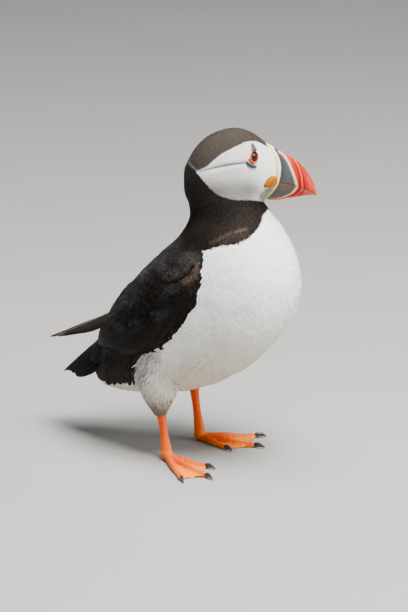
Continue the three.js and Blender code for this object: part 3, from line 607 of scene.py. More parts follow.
def paint(p, r, dg, wing, tail, thigh, jitter):
    """Colour of the plumage at points of the skin. jitter is a random number for each, which frays the borders."""
    f, s, z = to_head(p)
    n = len(p)
    col = np.repeat(BLACK[None], n, 0)
    white = np.zeros(n)
    # front and belly
    j = jitter[:, 0]
    lim_collar = collar_limit(p, dg)
    lim_flank = np.interp(r, FLANK_ROW, FLANK_DEG)
    low = (r > lim_collar + 0.035 * j) & (dg > lim_flank + 1.0 * j) & (z < 188)
    white[low] = 1.0
    white[(thigh > 0.5)] = 1.0
    white[wing > 0.06] = 0.0
    shade = WHITE[None] * (1 + 0.035 * jitter[:, 1:2])
    # dusky streaks where flank, wing and thigh meet; lower down darker and yellower: a buff tint with painted shade and
    # painted bounce light from the ground
    dusk = ease(7.6, 8.2, r) * (1 - ease(9.5, 10.6, r)) * (1 - ease(10, 20, dg - lim_flank + 2.5 * j)) * np.clip(0.66 + 0.18 * jitter[:, 1], 0, 1)
    buff_and_painted_shade = ease(120, 66, z) * (0.08 + 0.70 * ease(98, 130, dg))
    shade = shade * (1 - buff_and_painted_shade[:, None]) + buff_and_painted_shade[:, None] * np.array([0.53, 0.49, 0.36])
    shade = shade * (1 - 0.93 * dusk[:, None]) + 0.93 * dusk[:, None] * np.array([0.145, 0.125, 0.105])
    ankle = (thigh > 0.5) * ease(50, 35, z + 2.0 * jitter[:, 0]) * 0.92
    shade = shade * (1 - ankle[:, None]) + ankle[:, None] * np.array([0.125, 0.092, 0.060])
    col = np.where(white[:, None] > 0.5, shade, col)
    # light brown feather tips along the fold at the collar's lower edge, with a painted highlight where the fold's
    # ridge catches the light
    dark = white < 0.5
    fr = np.interp(dg, COLLAR_DEG, FOLD_ROW)
    ridge_ = dark * bell(r - fr, 0.07) * ease(90, 99, dg) * (1 - ease(137, 146, dg)) * (z < 186)
    below_ = dark * bell(r - (fr + 0.24), 0.15) * ease(92, 104, dg) * (1 - ease(132, 148, dg)) * (z < 186) * 0.15
    k = np.clip(0.62 * ridge_ * (0.75 + 0.35 * bell(dg - 132, 6)) + below_, 0, 1) * (0.92 + 0.08 * jitter[:, 1])
    k = np.clip(k, 0, 1)
    col = col * (1 - k[:, None]) + k[:, None] * np.array([0.115, 0.080, 0.058])
    # brown wash on neck, sides of the throat and back
    wash = dark * np.clip(0.20 + 0.22 * np.sin(p[:, 2] * 0.33 + 1.3 * np.sin(p[:, 1] * 0.17)) + 0.20 * jitter[:, 1], 0, 1) * (z < 206)
    wash = wash * (0.6 + 0.4 * ease(3.5, 2.0, r))
    col = np.where(dark[:, None], col * (1 - 0.32 * wash[:, None]) + 0.32 * wash[:, None] * BROWN, col)
    gd_, ga_, gs_ = fold_gap(p)
    low_wing = dark * (wing > 0.5) * ((gs_ < 0) | (ga_ > 0.9))
    # soft streaks of painted bluish-grey sheen over the wing; the wing below the shoulder fold is darker
    sheen_streaks = np.clip(1.6 * (0.5 + 0.5 * np.sin(p[:, 0] * 0.21 + 1.7 * np.sin(p[:, 2] * 0.13) + 0.09 * p[:, 2])) * (0.5 + 0.5 * np.sin(p[:, 2] * 0.37 - p[:, 0] * 0.16)) - 0.35, 0, 1)
    deep_ = 0.55 * low_wing
    col = np.where(dark[:, None], col * (1 - deep_[:, None]), col)
    lit_ = dark * (wing > 0.5) * sheen_streaks * 0.62
    col = col * (1 - lit_[:, None]) + lit_[:, None] * np.array([0.026, 0.027, 0.031])
    # painted sheen on the shoulder feathers above their fold
    shoulder_painted_sheen = dark * (wing > 0.3) * (gs_ > 0) * (1 - ease(0.7, 1.0, ga_)) * bell(gd_ - 3.0, 4.5)
    col = col * (1 - 0.6 * shoulder_painted_sheen[:, None]) + 0.6 * shoulder_painted_sheen[:, None] * np.array([0.034, 0.032, 0.031])
    # painted shade in the gap under the shoulder feathers' lower edge, and a brown patch below it on the wrist
    gap_ = dark * (gs_ < 0) * bell(gd_ - 0.6, 1.1) * (1 - ease(0.5, 0.95, ga_)) * (wing > 0.3)
    patch_ = dark * (gs_ < 0) * bell(gd_ - 4.2, 2.2) * (1 - ease(0.35, 0.62, ga_)) * (wing > 0.3) * (0.8 + 0.3 * jitter[:, 1])
    patch_ = np.clip(patch_, 0, 1)
    col = np.where(dark[:, None], col * (1 - 0.8 * patch_[:, None]) + 0.8 * patch_[:, None] * np.array([0.095, 0.060, 0.043]), col)
    col = np.where(dark[:, None], col * (1 - 0.7 * gap_[:, None]), col)
    # painted sheen: a bluish-grey highlight along the upper back
    sheen_ = dark * ease(66, 30, dg) * ease(2.2, 3.6, r) * 0.55
    col = col * (1 - sheen_[:, None]) + sheen_[:, None] * np.array([0.040, 0.0425, 0.047]) * (1 + 0.3 * jitter[:, 1:2])
    # head
    hd = z > 184
    fd = face_distance(f, z) + 0.28 * jitter[:, 0]
    side_on = np.abs(s) > np.interp(f, [18, 24, 30], [7.0, 4.5, 2.0])
    chin_face = z < 196
    on_face = hd & (fd > 0) & (side_on | chin_face) & ~(chin_face & (np.abs(s) < 2.6) & (f < 26))
    pale = PALE[None] * (1 + 0.04 * jitter[:, 1:2])
    near_bill = ease(8, 26, f) * ease(192, 206, z)
    pale = pale * (1 - near_bill[:, None]) + near_bill[:, None] * FACEW
    # grey wash over and behind the eye; the lower face darker, partly greyish feathers and partly painted shade under
    # the cheek
    below = ease(211, 196, z) * ease(27, 12, f) * 0.92
    pale = pale * (1 - below[:, None]) + below[:, None] * np.array([0.122, 0.118, 0.092])
    rear = ease(0, -16, f) * ease(213, 205, z) * 0.3 * (0.6 + 0.4 * np.sin(f * 2.2 + z * 1.1))
    pale = pale * (1 - rear[:, None]) + rear[:, None] * np.array([0.30, 0.27, 0.235])
    over = bell(z - 221, 5) * ease(6, -14, f) * 0.25
    pale = pale * (1 - over[:, None]) + over[:, None] * np.array([0.40, 0.40, 0.41])
    # darker furrow: darker feathers with painted shade in its groove
    cgap, cside = crease_gap(f, z)
    furrow = bell(cgap, 0.62 + 0.35 * bell(f + 2, 9)) * (1.0 - 0.25 * ease(-8, -22, f))
    pale = pale * (1 - 0.95 * furrow[:, None]) + 0.95 * furrow[:, None] * np.array([0.045, 0.040, 0.037])
    chin = ease(1.2, -1.6, z - np.interp(f, [19, 20, 21.1, 23.9, 26.7, 28.8, 33], [187.5, 190.7, 194.3, 197.0, 198.6, 199.2, 199.8])) * ease(18.5, 20.5, f)
    pale = pale * (1 - chin[:, None]) + chin[:, None] * CHIN * (1 + 0.25 * jitter[:, 1:2])
    edge = np.clip(1 - fd / 1.3, 0, 1) * ease(0.0, 1.0, np.abs(s) / 6) * (z > 200)
    pale = pale * (1 - 0.3 * edge[:, None]) + 0.3 * edge[:, None] * np.array([0.42, 0.41, 0.40])
    # cap above, black nape behind the rear corner of the face
    nape_line = 210.6 + np.clip(-21.0 - f, 0, 12) * 0.66 + 0.9 * jitter[:, 0] * 0.4
    cap_on = hd & (z > nape_line) & ((f > -21) | (z > nape_line)) & (z > 205)
    cap_on = cap_on & ((fd <= 0) | ~side_on)
    below_face = (f > -21) & (z < np.interp(f, [-22.3, -16.8, -9.9, -5.8, 2.5, 10.8], [210.4, 214.0, 219.7, 222.9, 227.2, 230.3]))
    cap_on = cap_on & ~(below_face & side_on)
    tone = CAP[None] * (1 + 0.10 * jitter[:, 1:2]) * (1 - 0.22 * ease(226, 212, z) * ease(-5, -25, f))[:, None]
    rim = bell(fd + 0.9, 0.8) * 0.35
    tone = tone * (1 - rim[:, None]) + rim[:, None] * np.array([0.045, 0.036, 0.031])
    front = ease(20, 28, f)
    tone = tone * (1 + 0.25 * front[:, None])
    col = np.where(cap_on[:, None], tone, col)
    # thin pale line between cap and nape
    line = hd * bell(z - nape_line, 0.55) * ease(-19.5, -21.5, f) * ease(-32, -29, f) * (np.abs(s) > 3)
    col = col * (1 - 0.55 * line[:, None]) + 0.55 * line[:, None] * np.array([0.30, 0.29, 0.28])
    col = np.where(on_face[:, None], pale, col)
    return np.clip(col, 0, 1), on_face, cap_on, (white > 0.5)


jit0 = np.zeros((len(skin.v), 2))
skin_col, on_face_v, cap_v, white_v = paint(skin.v, row, deg, is_wing, is_tail, is_thigh, jit0)

# ------------------------------------------------------------------ sizes of the feathers over the bird
f0, s0, z0 = to_head(skin.v)
z_ = skin.v[:, 2]
length = np.interp(row, [0, 2, 3, 5, 7, 9, 12], [3.4, 4.0, 4.8, 6.6, 7.8, 9.0, 10.5])
width = np.interp(row, [0, 2, 3, 5, 7, 9, 12], [0.95, 1.05, 1.1, 1.2, 1.25, 1.3, 1.6])
step = np.interp(row, [0, 2, 3, 5, 7, 9, 12], [0.68, 0.74, 0.78, 0.84, 0.88, 0.94, 1.1])
lift = np.interp(row, [0, 2, 4, 12], [0.7, 0.85, 0.95, 1.05])
backish = (1 - white_v) * ease(2.6, 4.2, row) * (1 - is_head)
for arr, val in ((length, 8.5), (width, 4.4), (step, 1.9), (lift, 1.2)):
    arr += (val - arr) * backish
hl = np.interp(f0, [-30, -18, 0, 14, 24, 30], [3.4, 3.0, 2.6, 2.1, 1.5, 1.1])
hw = np.interp(f0, [-30, -18, 0, 14, 24, 30], [0.95, 0.85, 0.75, 0.66, 0.52, 0.45])
hs = np.interp(f0, [-30, -18, 0, 14, 24, 30], [0.66, 0.60, 0.55, 0.50, 0.43, 0.38])
hh = np.interp(f0, [-30, -18, 0, 14, 24, 30], [0.7, 0.6, 0.5, 0.42, 0.34, 0.28])
for arr, val in ((length, hl), (width, hw), (step, hs), (lift, hh)):
    arr += (val - arr) * is_head
for arr, val in ((length, np.interp(wx, [0, 2, 3.2, 5, 9], [4.4, 5.8, 7.6, 11.0, 14.0])), (width, np.interp(wx, [0, 2, 3.2, 5, 9], [2.4, 3.2, 4.3, 6.0, 6.6])),
                 (step, np.interp(wx, [0, 2, 3.2, 5, 9], [1.2, 1.55, 2.0, 2.8, 3.0])), (lift, np.full(len(wx), 1.0))):
    arr += (val - arr) * is_wing
edge_w = 1 - 0.62 * ease(0.68, 0.96, wu) * is_wing
length *= 1 - (1 - edge_w) * 0.9
width *= edge_w
step *= edge_w
plume_on = plume * (1 - ease(16, 27, deg - np.interp(row, FLANK_ROW, FLANK_DEG))) * (1 - is_thigh)
for arr, val in ((length, 13.0 - 1.5 * white_v), (width, 3.2 - 1.7 * white_v), (step, 1.75 - 0.5 * white_v), (lift, 1.5)):
    arr += (val - arr) * plume_on
gap_face = np.abs(face_distance(f0, z0)) / 2.6 + 9 * (z_ < 184)
gap_collar = np.abs(row - collar_limit(skin.v, deg)) * 14 / 4.5 + 9 * (deg < 80)
gap_low = np.abs(deg - np.interp(row, FLANK_ROW, FLANK_DEG)) * 0.45 / 3.0 + 9 * (row < 9.5) + 9 * (is_thigh > 0.3)
near_face = (1 - ease(1.2, 3.6, np.abs(face_distance(f0, z0)))) * (z_ > 178) * (1 - is_head)
for arr, val in ((length, hl), (width, hw), (step, hs), (lift, hh)):
    arr += (val - arr) * near_face
near_edge = 1 - ease(0.15, 1.0, np.minimum(np.minimum(gap_face, gap_collar), gap_low))
length *= 1 - 0.40 * near_edge
width *= 1 - 0.35 * near_edge
step *= 1 - 0.32 * near_edge
tz = np.clip((z_ - 31) / 30, 0, 1)
for arr, val in ((length, 3.8 + 3.4 * tz), (width, 0.8 + 0.6 * tz), (step, 0.68 + 0.28 * tz), (lift, 0.8 + 0.5 * tz)):
    arr += (val - arr) * is_thigh
for arr, val in ((length, 12.0), (width, 5.0), (step, 2.4), (lift, 1.1)):
    arr += (val - arr) * is_tail * (1 - white_v)
ed = np.hypot(f0 - EYE_F, (z0 - EYE_Z) / 1.25)
near_eye = is_head * (np.abs(s0) > 4) * (1 - ease(5.0, 8.5, ed))
length += (1.25 - length) * near_eye
width += (0.55 - width) * near_eye
step += (0.48 - step) * near_eye
fields = np.stack([length, width, step, lift], -1)
fields = skin.spread(fields, 2)

# ------------------------------------------------------------------ the skin as an object, with its own unwrap
skin_ob = make("skin", skin.v, skin.q, col=skin_col)
bpy.context.view_layer.objects.active = skin_ob
for o in bpy.context.selected_objects:
    o.select_set(False)
skin_ob.select_set(True)
bpy.ops.object.mode_set(mode="EDIT")
bpy.ops.mesh.select_all(action="SELECT")
bpy.ops.uv.smart_project(angle_limit=math.radians(60), island_margin=0.004)
bpy.ops.object.mode_set(mode="OBJECT")
skin_ob.data.uv_layers[0].name = "OFBake"
uvflat = np.empty(len(skin_ob.data.loops) * 2, np.float32)
skin_ob.data.uv_layers["OFBake"].data.foreach_get("uv", uvflat)
quv = uvflat.reshape(-1, 4, 2)
tri_uv = np.concatenate([quv[:, [0, 1, 2]], quv[:, [0, 2, 3]]])

# ------------------------------------------------------------------ roots: even scatter over the skin
tri = skin.tri
A, B, C = (skin.v[tri[:, k]] for k in range(3))
area = np.linalg.norm(np.cross(B - A, C - A), axis=1) / 2
tstep = fields[tri[:, 0], 2]
want = area / tstep ** 2 * 2.6
count = np.floor(want + rng.random(len(want))).astype(int)
pick = np.repeat(np.arange(len(tri)), count)
u = rng.random(len(pick))
w = rng.random(len(pick))
flip = u + w > 1
u[flip], w[flip] = 1 - u[flip], 1 - w[flip]
bary = np.stack([1 - u - w, u, w], -1)


def at(values):
    v = values[tri[pick]]
    return np.einsum("nk,nk...->n...", bary, v) if v.ndim == 2 else np.einsum("nk,nkc->nc", bary, v)


order = rng.permutation(len(pick))
pick, bary = pick[order], bary[order]
root = at(skin.v)
rstep = at(fields)[:, 2]
# thin the scatter so that no two roots are nearer than the step
cell = 0.5
kd = KDTree(len(root))
for i, p in enumerate(root):
    kd.insert(p, i)
kd.balance()
alive_ = np.ones(len(root), bool)
for i in range(len(root)):
    if alive_[i]:
        for _, j, _ in kd.find_range(root[i], rstep[i]):
            if j > i:
                alive_[j] = False
pick, bary, root = pick[alive_], bary[alive_], root[alive_]
size = at(fields)
rflow = unit(at(flow))
rnorm = unit(at(skin.n))
rrow, rdeg = at(row), at(deg)
rwing, rtail, rthigh, rhead = at(is_wing), at(is_tail), at(is_thigh), at(is_head)
rwx, rwu = at(wx), at(wu)
ruv = np.einsum("nk,nkc->nc", bary, tri_uv[pick])
jit = rng.normal(size=(len(root), 2))
rfine = np.maximum(at(near_edge), rhead)
tree = skin.tree()
SN = skin.n
TRI = skin.tri


def snap(p, want_place=False):
    """Nearest points of the skin and its smooth normals there; with want_place also the triangles and the shares of their corners."""
    out = np.empty_like(p)
    tj = np.empty(len(p), int)
    for i in range(len(p)):
        co_, _, j_, _ = tree.find_nearest(p[i])
        out[i] = co_
        tj[i] = j_
    a, b, c = (skin.v[TRI[tj, k_]] for k_ in range(3))
    n_ = np.cross(b - a, c - a)
    d_ = np.maximum(np.einsum("ij,ij->i", n_, n_), 1e-12)
    w1 = np.clip(np.einsum("ij,ij->i", np.cross(out - a, c - a), n_) / d_, 0, 1)
    w2 = np.clip(np.einsum("ij,ij->i", np.cross(b - a, out - a), n_) / d_, 0, 1)
    w0 = np.clip(1 - w1 - w2, 0, 1)
    w_ = np.stack([w0, w1, w2], -1)
    w_ /= w_.sum(1, keepdims=True)
    nn_ = unit(np.einsum("nk,nkc->nc", w_, SN[TRI[tj]]))
    return (out, nn_, tj, w_) if want_place else (out, nn_)


seen, _, vt, vw = snap(root + rflow * (0.42 * size[:, :1]), True)
vf = unit(np.einsum("nk,nkc->nc", vw, flow[TRI[vt]]))
seen, _, vt, vw = snap(seen + vf * (0.38 * size[:, :1]), True)


def seen_at(values):
    return np.einsum("nk,nk->n", vw, values[TRI[vt]])


rcol, rface, rcap, rwhite = paint(seen, seen_at(row), seen_at(deg), seen_at(is_wing), seen_at(is_tail), seen_at(is_thigh), jit)
kd = KDTree(len(seen))
for i, p_ in enumerate(seen):
    kd.insert(p_, i)
kd.balance()
share = np.array([np.mean([rwhite[j_] for _, j_, _ in kd.find_n(p_, 13)]) for p_ in seen])
stray = (rwhite & (share < 0.4)) | (~rwhite & (share > 0.6) & (rhead < 0.5))
stray |= rwhite & (rwing > 0.12)
stray |= (rwing >= 0.5) & (seen_at(is_wing) < 0.22) & (seen_at(white_v.astype(float)) > 0.5)
stray |= rwhite & (at(white_v.astype(float)) < 0.35) & (rhead < 0.5) & (rthigh < 0.3)
print("roots", len(root))

# keep feathers off the bill, eye, plates and rosette, the tail's tip and the rear of the folded wing
f1, s1, z1 = to_head(root)
tipp = root + rflow * size[:, :1]
f2, s2, z2 = to_head(tipp)


def in_oval(f, z, cf, cz, a, b, turn=0.0):
    t = math.radians(turn)
    x, y = f - cf, z - cz
    xr, yr = x * math.cos(t) + y * math.sin(t), -x * math.sin(t) + y * math.cos(t)
    return (xr / a) ** 2 + (yr / b) ** 2 < 1


hz = (np.abs(s1) > 3) & (z1 > 188)
bad = np.zeros(len(root), bool)
for ff, zz in ((f1, z1), (f2, z2), ((f1 + f2) / 2, (z1 + z2) / 2)):
    bad |= hz & in_oval(ff, zz, 17.0, 221.0, 3.5, 4.8, 8)
    bad |= hz & in_oval(ff, zz, 16.6, 228.0, 1.4, 3.3, 12)
    bad |= hz & in_oval(ff, zz, 14.6, 215.3, 4.1, 1.3, -19)
    bad |= hz & in_oval(ff, zz, 28.2, 202.0, 5.2, 3.4, 34)
bad |= (z1 > 184) & (f1 > face_line(z1) - 0.35)
bad |= (rtail > 0.6) & (root[:, 0] < -80)
bad |= (rwing > 0.6) & (rwx > 6.3) & (rwu > 0.12) & (rwu < 0.93)
ok = ~bad & ~stray


# ------------------------------------------------------------------ vanes
def lay(name, sel, mat, stations, halfw, ridge=0.10, droop=0.10, sink=0.35, soft_n=0.75, fringe=0.0, fringe_col=None, base_dark=0.0, spread_deg=5.0,
        lift_curve=0.55, lscale=1.0, wscale=1.0, hscale=1.0, tone_var=0.05, colour=None):
    """A joined mesh of closed vanes on the chosen roots. stations run 0 to 1 along a vane, the last being its tip; halfw are the shares of its half width."""
    idx = np.nonzero(sel)[0]
    n = len(idx)
    if n == 0:
        return None
    P = root[idx]
    N = rnorm[idx]
    T = rflow[idx]
    g = rng.normal(size=(n, 4))
    ang = np.radians(spread_deg) * g[:, 0]
    Bn = np.cross(N, T)
    T = unit(T * np.cos(ang)[:, None] + Bn * np.sin(ang)[:, None])
    L = size[idx, 0] * lscale * np.clip(1 + 0.10 * g[:, 1], 0.75, 1.3)
    W = size[idx, 1] * wscale * np.clip(1 + 0.08 * g[:, 2], 0.8, 1.25)
    H = size[idx, 3] * hscale * np.clip(1 + 0.10 * g[:, 3], 0.7, 1.35)
    K = len(stations)
    centres = [P]
    norms = [N]
    pos = P.copy()
    dirn = T
    for k in range(1, K):
        pos = pos + dirn * (L * (stations[k] - stations[k - 1]))[:, None]
        pos, nk = snap(pos)
        dirn = unit(dirn - nk * np.einsum("ij,ij->i", dirn, nk)[:, None])
        centres.append(pos)
        norms.append(nk)
    Cc = np.stack(centres, 1)
    Nn = np.stack(norms, 1)
    st = np.array(stations)
    hgt = -sink + (H[:, None] + sink) * st[None] ** lift_curve
    Cc = Cc + Nn * hgt[..., None]
    tang = np.empty_like(Cc)
    tang[:, 1:-1] = Cc[:, 2:] - Cc[:, :-2]
    tang[:, 0] = Cc[:, 1] - Cc[:, 0]
    tang[:, -1] = Cc[:, -1] - Cc[:, -2]
    tang = unit(tang)
    Nn = unit(Nn - tang * np.einsum("nkc,nkc->nk", Nn, tang)[..., None])
    Sd = np.cross(Nn, tang)
    hw = (W / 2)[:, None] * np.array(halfw)[None]
    V = []
    NV = []
    CV = []
    U2 = []
    base = rcol[idx] if colour is None else colour[idx]
    base = base * (1 + tone_var * rng.normal(size=(n, 1)))
    fc = base if fringe_col is None else np.broadcast_to(fringe_col, base.shape)
    for k in range(K - 1):
        w_ = hw[:, k][:, None]
        c = Cc[:, k]
        dn = Nn[:, k] * (droop * w_)
        up = Nn[:, k] * np.maximum(ridge * w_, 0.06)
        V += [c - Sd[:, k] * w_ - dn, c + up, c + Sd[:, k] * w_ - dn]
        edge = 0.55 * (1 - soft_n)
        NV += [unit(Nn[:, k] - Sd[:, k] * edge * 1.6), unit(Nn[:, k] + tang[:, k] * 0.05), unit(Nn[:, k] + Sd[:, k] * edge * 1.6)]
        tdark = 1 - base_dark * (1 - st[k])
        fe = fringe * ease(0.45, 1.0, st[k])
        ce = base * tdark * (1 - fe) + fc * fe
        CV += [ce, base * tdark, ce]
        U2 += [(st[k], 0.0), (st[k], 0.5), (st[k], 1.0)]
    V.append(Cc[:, -1])
    NV.append(unit(Nn[:, -1] + tang[:, -1] * 0.35 * (1 - soft_n)))
    CV.append(base * (1 - fringe) + fc * fringe)
    U2.append((1.0, 0.5))
    M = 3 * (K - 1) + 1
    V = np.stack(V, 1)
    NV = np.stack(NV, 1)
    CV = np.stack(CV, 1)
    near = np.nonzero(rfine[idx] > 0.05)[0]
    if len(near):
        spots = V[near].reshape(-1, 3)
        on_, _, tj_, w_ = snap(spots, True)
        field = [np.einsum("nk,nk->n", w_, values[TRI[tj_]]) for values in (row, deg, is_wing, is_tail, is_thigh)]
        jj = np.repeat(jit[idx[near]], M, 0) * np.array([0.30, 0.8])
        own = paint(on_, *field, jj)[0].reshape(len(near), M, 3)
        CV[near] = own * (1 + tone_var * rng.normal(size=(len(near), 1, 1)))
    faces = [(0, 2, 1)]
    for k in range(K - 2):
        a, b = 3 * k, 3 * (k + 1)
        for p, q in ((0, 1), (1, 2), (2, 0)):
            faces += [(a + p, a + q, b + q), (a + p, b + q, b + p)]
    a = 3 * (K - 2)
    for p, q in ((0, 1), (1, 2), (2, 0)):
        faces.append((a + p, a + q, M - 1))
    faces = np.array(faces)
    F = (faces[None, :, ::-1] + (np.arange(n) * M)[:, None, None]).reshape(-1, 3)
    U2 = np.array(U2)
    vane_uv = np.broadcast_to(U2[None], (n, M, 2))
    bake = ruv[idx][:, None, :] + (vane_uv - 0.5) * 0.003
    ob = make(name, V.reshape(-1, 3), F, mat, CV.reshape(-1, 3), {"OFBake": np.clip(bake.reshape(-1, 2), 0, 1), "Vane": vane_uv.reshape(-1, 2)}, NV.reshape(-1, 3))
    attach(ob, "root")
    print(name, n, "vanes", len(F), "triangles")
    return ob


# ------------------------------------------------------------------ materials
def material(name, rough=0.7, spec=0.3, sheen=0.0, coat=0.0, coat_rough=0.1, var=0.08, scale=600.0, bump=0.15, bump_scale=900.0, rough_var=0.1, base=None, bands=None, subsurface=0.0):
    """Colour from the mesh's own markings, mottled by noise, with a fine bump."""
    m = bpy.data.materials.new(name)
    m.use_nodes = True
    nt = m.node_tree
    nt.nodes.clear()
    N = nt.nodes.new
    out = N("ShaderNodeOutputMaterial")
    bs = N("ShaderNodeBsdfPrincipled")
    nt.links.new(bs.outputs[0], out.inputs[0])
    co = N("ShaderNodeTexCoord")
    no = N("ShaderNodeTexNoise")
    no.inputs["Scale"].default_value = scale
    no.inputs["Detail"].default_value = 3.0
    nt.links.new(co.outputs["Object"], no.inputs["Vector"])
    mr = N("ShaderNodeMapRange")
    mr.inputs["From Min"].default_value = 0.3
    mr.inputs["From Max"].default_value = 0.7
    mr.inputs["To Min"].default_value = 1 - var
    mr.inputs["To Max"].default_value = 1 + var
    nt.links.new(no.outputs["Fac"], mr.inputs["Value"])
    vm = N("ShaderNodeVectorMath")
    vm.operation = "SCALE"
    if base is None:
        at_ = N("ShaderNodeAttribute")
        at_.attribute_name = "Col"
        nt.links.new(at_.outputs["Color"], vm.inputs[0])
    else:
        vm.inputs[0].default_value = base
    nt.links.new(mr.outputs["Result"], vm.inputs["Scale"])
    nt.links.new(vm.outputs["Vector"], bs.inputs["Base Color"])
    rr = N("ShaderNodeMapRange")
    rr.inputs["To Min"].default_value = max(0.02, rough - rough_var)
    rr.inputs["To Max"].default_value = min(1.0, rough + rough_var)
    nt.links.new(no.outputs["Fac"], rr.inputs["Value"])
    nt.links.new(rr.outputs["Result"], bs.inputs["Roughness"])
    n2 = N("ShaderNodeTexNoise")
    n2.inputs["Scale"].default_value = bump_scale
    n2.inputs["Detail"].default_value = 4.0
    nt.links.new(co.outputs["Object"], n2.inputs["Vector"])
    bp_ = N("ShaderNodeBump")
    bp_.inputs["Strength"].default_value = bump
    bp_.inputs["Distance"].default_value = 0.0004
    height = n2.outputs["Fac"]
    if bands is not None:
        # barbs slanting off the shaft
        uvn = N("ShaderNodeUVMap")
        uvn.uv_map = "Vane"
        sx = N("ShaderNodeSeparateXYZ")
        nt.links.new(uvn.outputs["UV"], sx.inputs[0])
        a1 = N("ShaderNodeMath"); a1.operation = "SUBTRACT"; a1.inputs[1].default_value = 0.5
        nt.links.new(sx.outputs["Y"], a1.inputs[0])
        a2 = N("ShaderNodeMath"); a2.operation = "ABSOLUTE"
        nt.links.new(a1.outputs[0], a2.inputs[0])
        a3 = N("ShaderNodeMath"); a3.operation = "MULTIPLY_ADD"; a3.inputs[1].default_value = -0.35
        nt.links.new(a2.outputs[0], a3.inputs[0])
        nt.links.new(sx.outputs["X"], a3.inputs[2])
        a4 = N("ShaderNodeMath"); a4.operation = "MULTIPLY"; a4.inputs[1].default_value = bands
        nt.links.new(a3.outputs[0], a4.inputs[0])
        a5 = N("ShaderNodeMath"); a5.operation = "SINE"
        nt.links.new(a4.outputs[0], a5.inputs[0])
        a6 = N("ShaderNodeMath"); a6.operation = "MULTIPLY_ADD"; a6.inputs[1].default_value = 0.25
        nt.links.new(a5.outputs[0], a6.inputs[0])
        nt.links.new(n2.outputs["Fac"], a6.inputs[2])
        height = a6.outputs[0]
    nt.links.new(height, bp_.inputs["Height"])
    nt.links.new(bp_.outputs["Normal"], bs.inputs["Normal"])
    bs.inputs["Specular IOR Level"].default_value = spec
    bs.inputs["Sheen Weight"].default_value = sheen
    bs.inputs["Sheen Roughness"].default_value = 0.45
    bs.inputs["Coat Weight"].default_value = coat
    bs.inputs["Coat Roughness"].default_value = coat_rough
    if subsurface > 0:
        bs.inputs["Subsurface Weight"].default_value = subsurface
        bs.inputs["Subsurface Radius"].default_value = (0.004, 0.002, 0.001)
        bs.inputs["Subsurface Scale"].default_value = 0.4
    return m


M_SKIN = material("plumage_base", 0.9, 0.04, var=0.06, scale=500)
M_WHITE = material("white_feather", 0.85, 0.15, sheen=0.1, var=0.03, scale=420, bump=0.1)
M_FACE = material("face_feather", 0.8, 0.12, sheen=0.05, var=0.03, scale=700, bump=0.1)
M_CAP = material("cap_feather", 0.75, 0.12, sheen=0.03, var=0.12, scale=700, bump=0.12)
M_BLACK = material("black_feather", 0.58, 0.045, sheen=0.0, var=0.25, scale=500, bump=0.18)
M_FLIGHT = material("flight_feather", 0.50, 0.05, var=0.2, scale=500, bump=0.3, bands=420.0)
M_HORN = material("bill_horn", 0.40, 0.13, coat=0.03, coat_rough=0.3, var=0.07, scale=900, bump=0.12, bump_scale=1500)
M_CERE = material("cere", 0.55, 0.4, var=0.10, scale=1500, bump=0.35, bump_scale=1700)
M_ROSE = material("rosette", 0.6, 0.05, coat=0.0, var=0.12, scale=1300, bump=0.3, bump_scale=1500)
M_RING = material("orbital_ring", 0.5, 0.15, coat=0.0, var=0.12, scale=1500, bump=0.3, bump_scale=2200)
M_PLATE = material("eye_plate", 0.5, 0.15, var=0.14, scale=1500, bump=0.3, bump_scale=1500)
M_EYE = material("eye", 0.12, 0.22, coat=0.12, coat_rough=0.03, var=0.10, scale=2500, bump=0.0, rough_var=0.03)
M_LEG = material("leg_skin", 0.5, 0.16, coat=0.03, coat_rough=0.3, var=0.10, scale=420, bump=0.35, bump_scale=1300)
M_CLAW = material("claw", 0.35, 0.5, coat=0.2, var=0.2, scale=800, bump=0.2)

skin_ob.data.materials.append(M_SKIN)
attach(skin_ob, "root")
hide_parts("head", "face_left", "face_right", "neck", "mantle", "trunk", "wing_left", "wing_right", "thigh_left", "thigh_right")

# ------------------------------------------------------------------ the coat
fine = ok & ((rhead > 0.5) | rface)
face_sel = fine & rface
cap_sel = fine & ~rface
neck_sel = ok & ~fine & ~rwhite & (rwing < 0.5) & (rtail < 0.5) & (rrow < 3.1) & (rthigh < 0.5)
plume_sel = ok & (at(plume) > 0.4) & ~rwhite & (rwing < 0.5) & (rthigh < 0.5) & (rtail < 0.5)
thigh_sel = ok & (rthigh > 0.5)
wing_sel = ok & (rwing >= 0.5) & ~thigh_sel
tail_sel = ok & (rtail >= 0.5) & ~wing_sel & ~thigh_sel & ~rwhite
white_sel = ok & rwhite & ~wing_sel & ~thigh_sel & ~fine
back_sel = ok & ~fine & ~rwhite & ~neck_sel & ~wing_sel & ~thigh_sel & ~tail_sel & ~plume_sel
tiny = ([0, 0.5, 1.0], [0.7, 1.0])
small = ([0, 0.35, 0.75, 1.0], [0.5, 1.0, 0.75])
round_ = ([0, 0.3, 0.62, 0.86, 0.97, 1.0], [0.4, 0.9, 1.0, 0.80, 0.42])
wisp = ([0, 0.3, 0.7, 1.0], [0.6, 1.0, 0.62])
lay("feathers_face", face_sel, M_FACE, *tiny, soft_n=0.92, sink=0.12, ridge=0.08, spread_deg=5, tone_var=0.025, wscale=1.35, hscale=0.6)
lay("feathers_cap", cap_sel, M_CAP, *small, soft_n=0.75, sink=0.12, ridge=0.10, spread_deg=6, tone_var=0.08, wscale=1.25, hscale=0.65, fringe=0.2, fringe_col=np.array([0.075, 0.060, 0.048]))
lay("feathers_neck", neck_sel, M_BLACK, *small, soft_n=0.65, spread_deg=7, tone_var=0.12, ridge=0.12, wscale=1.2, hscale=0.7, fringe=0.2, fringe_col=np.array([0.030, 0.021, 0.015]))
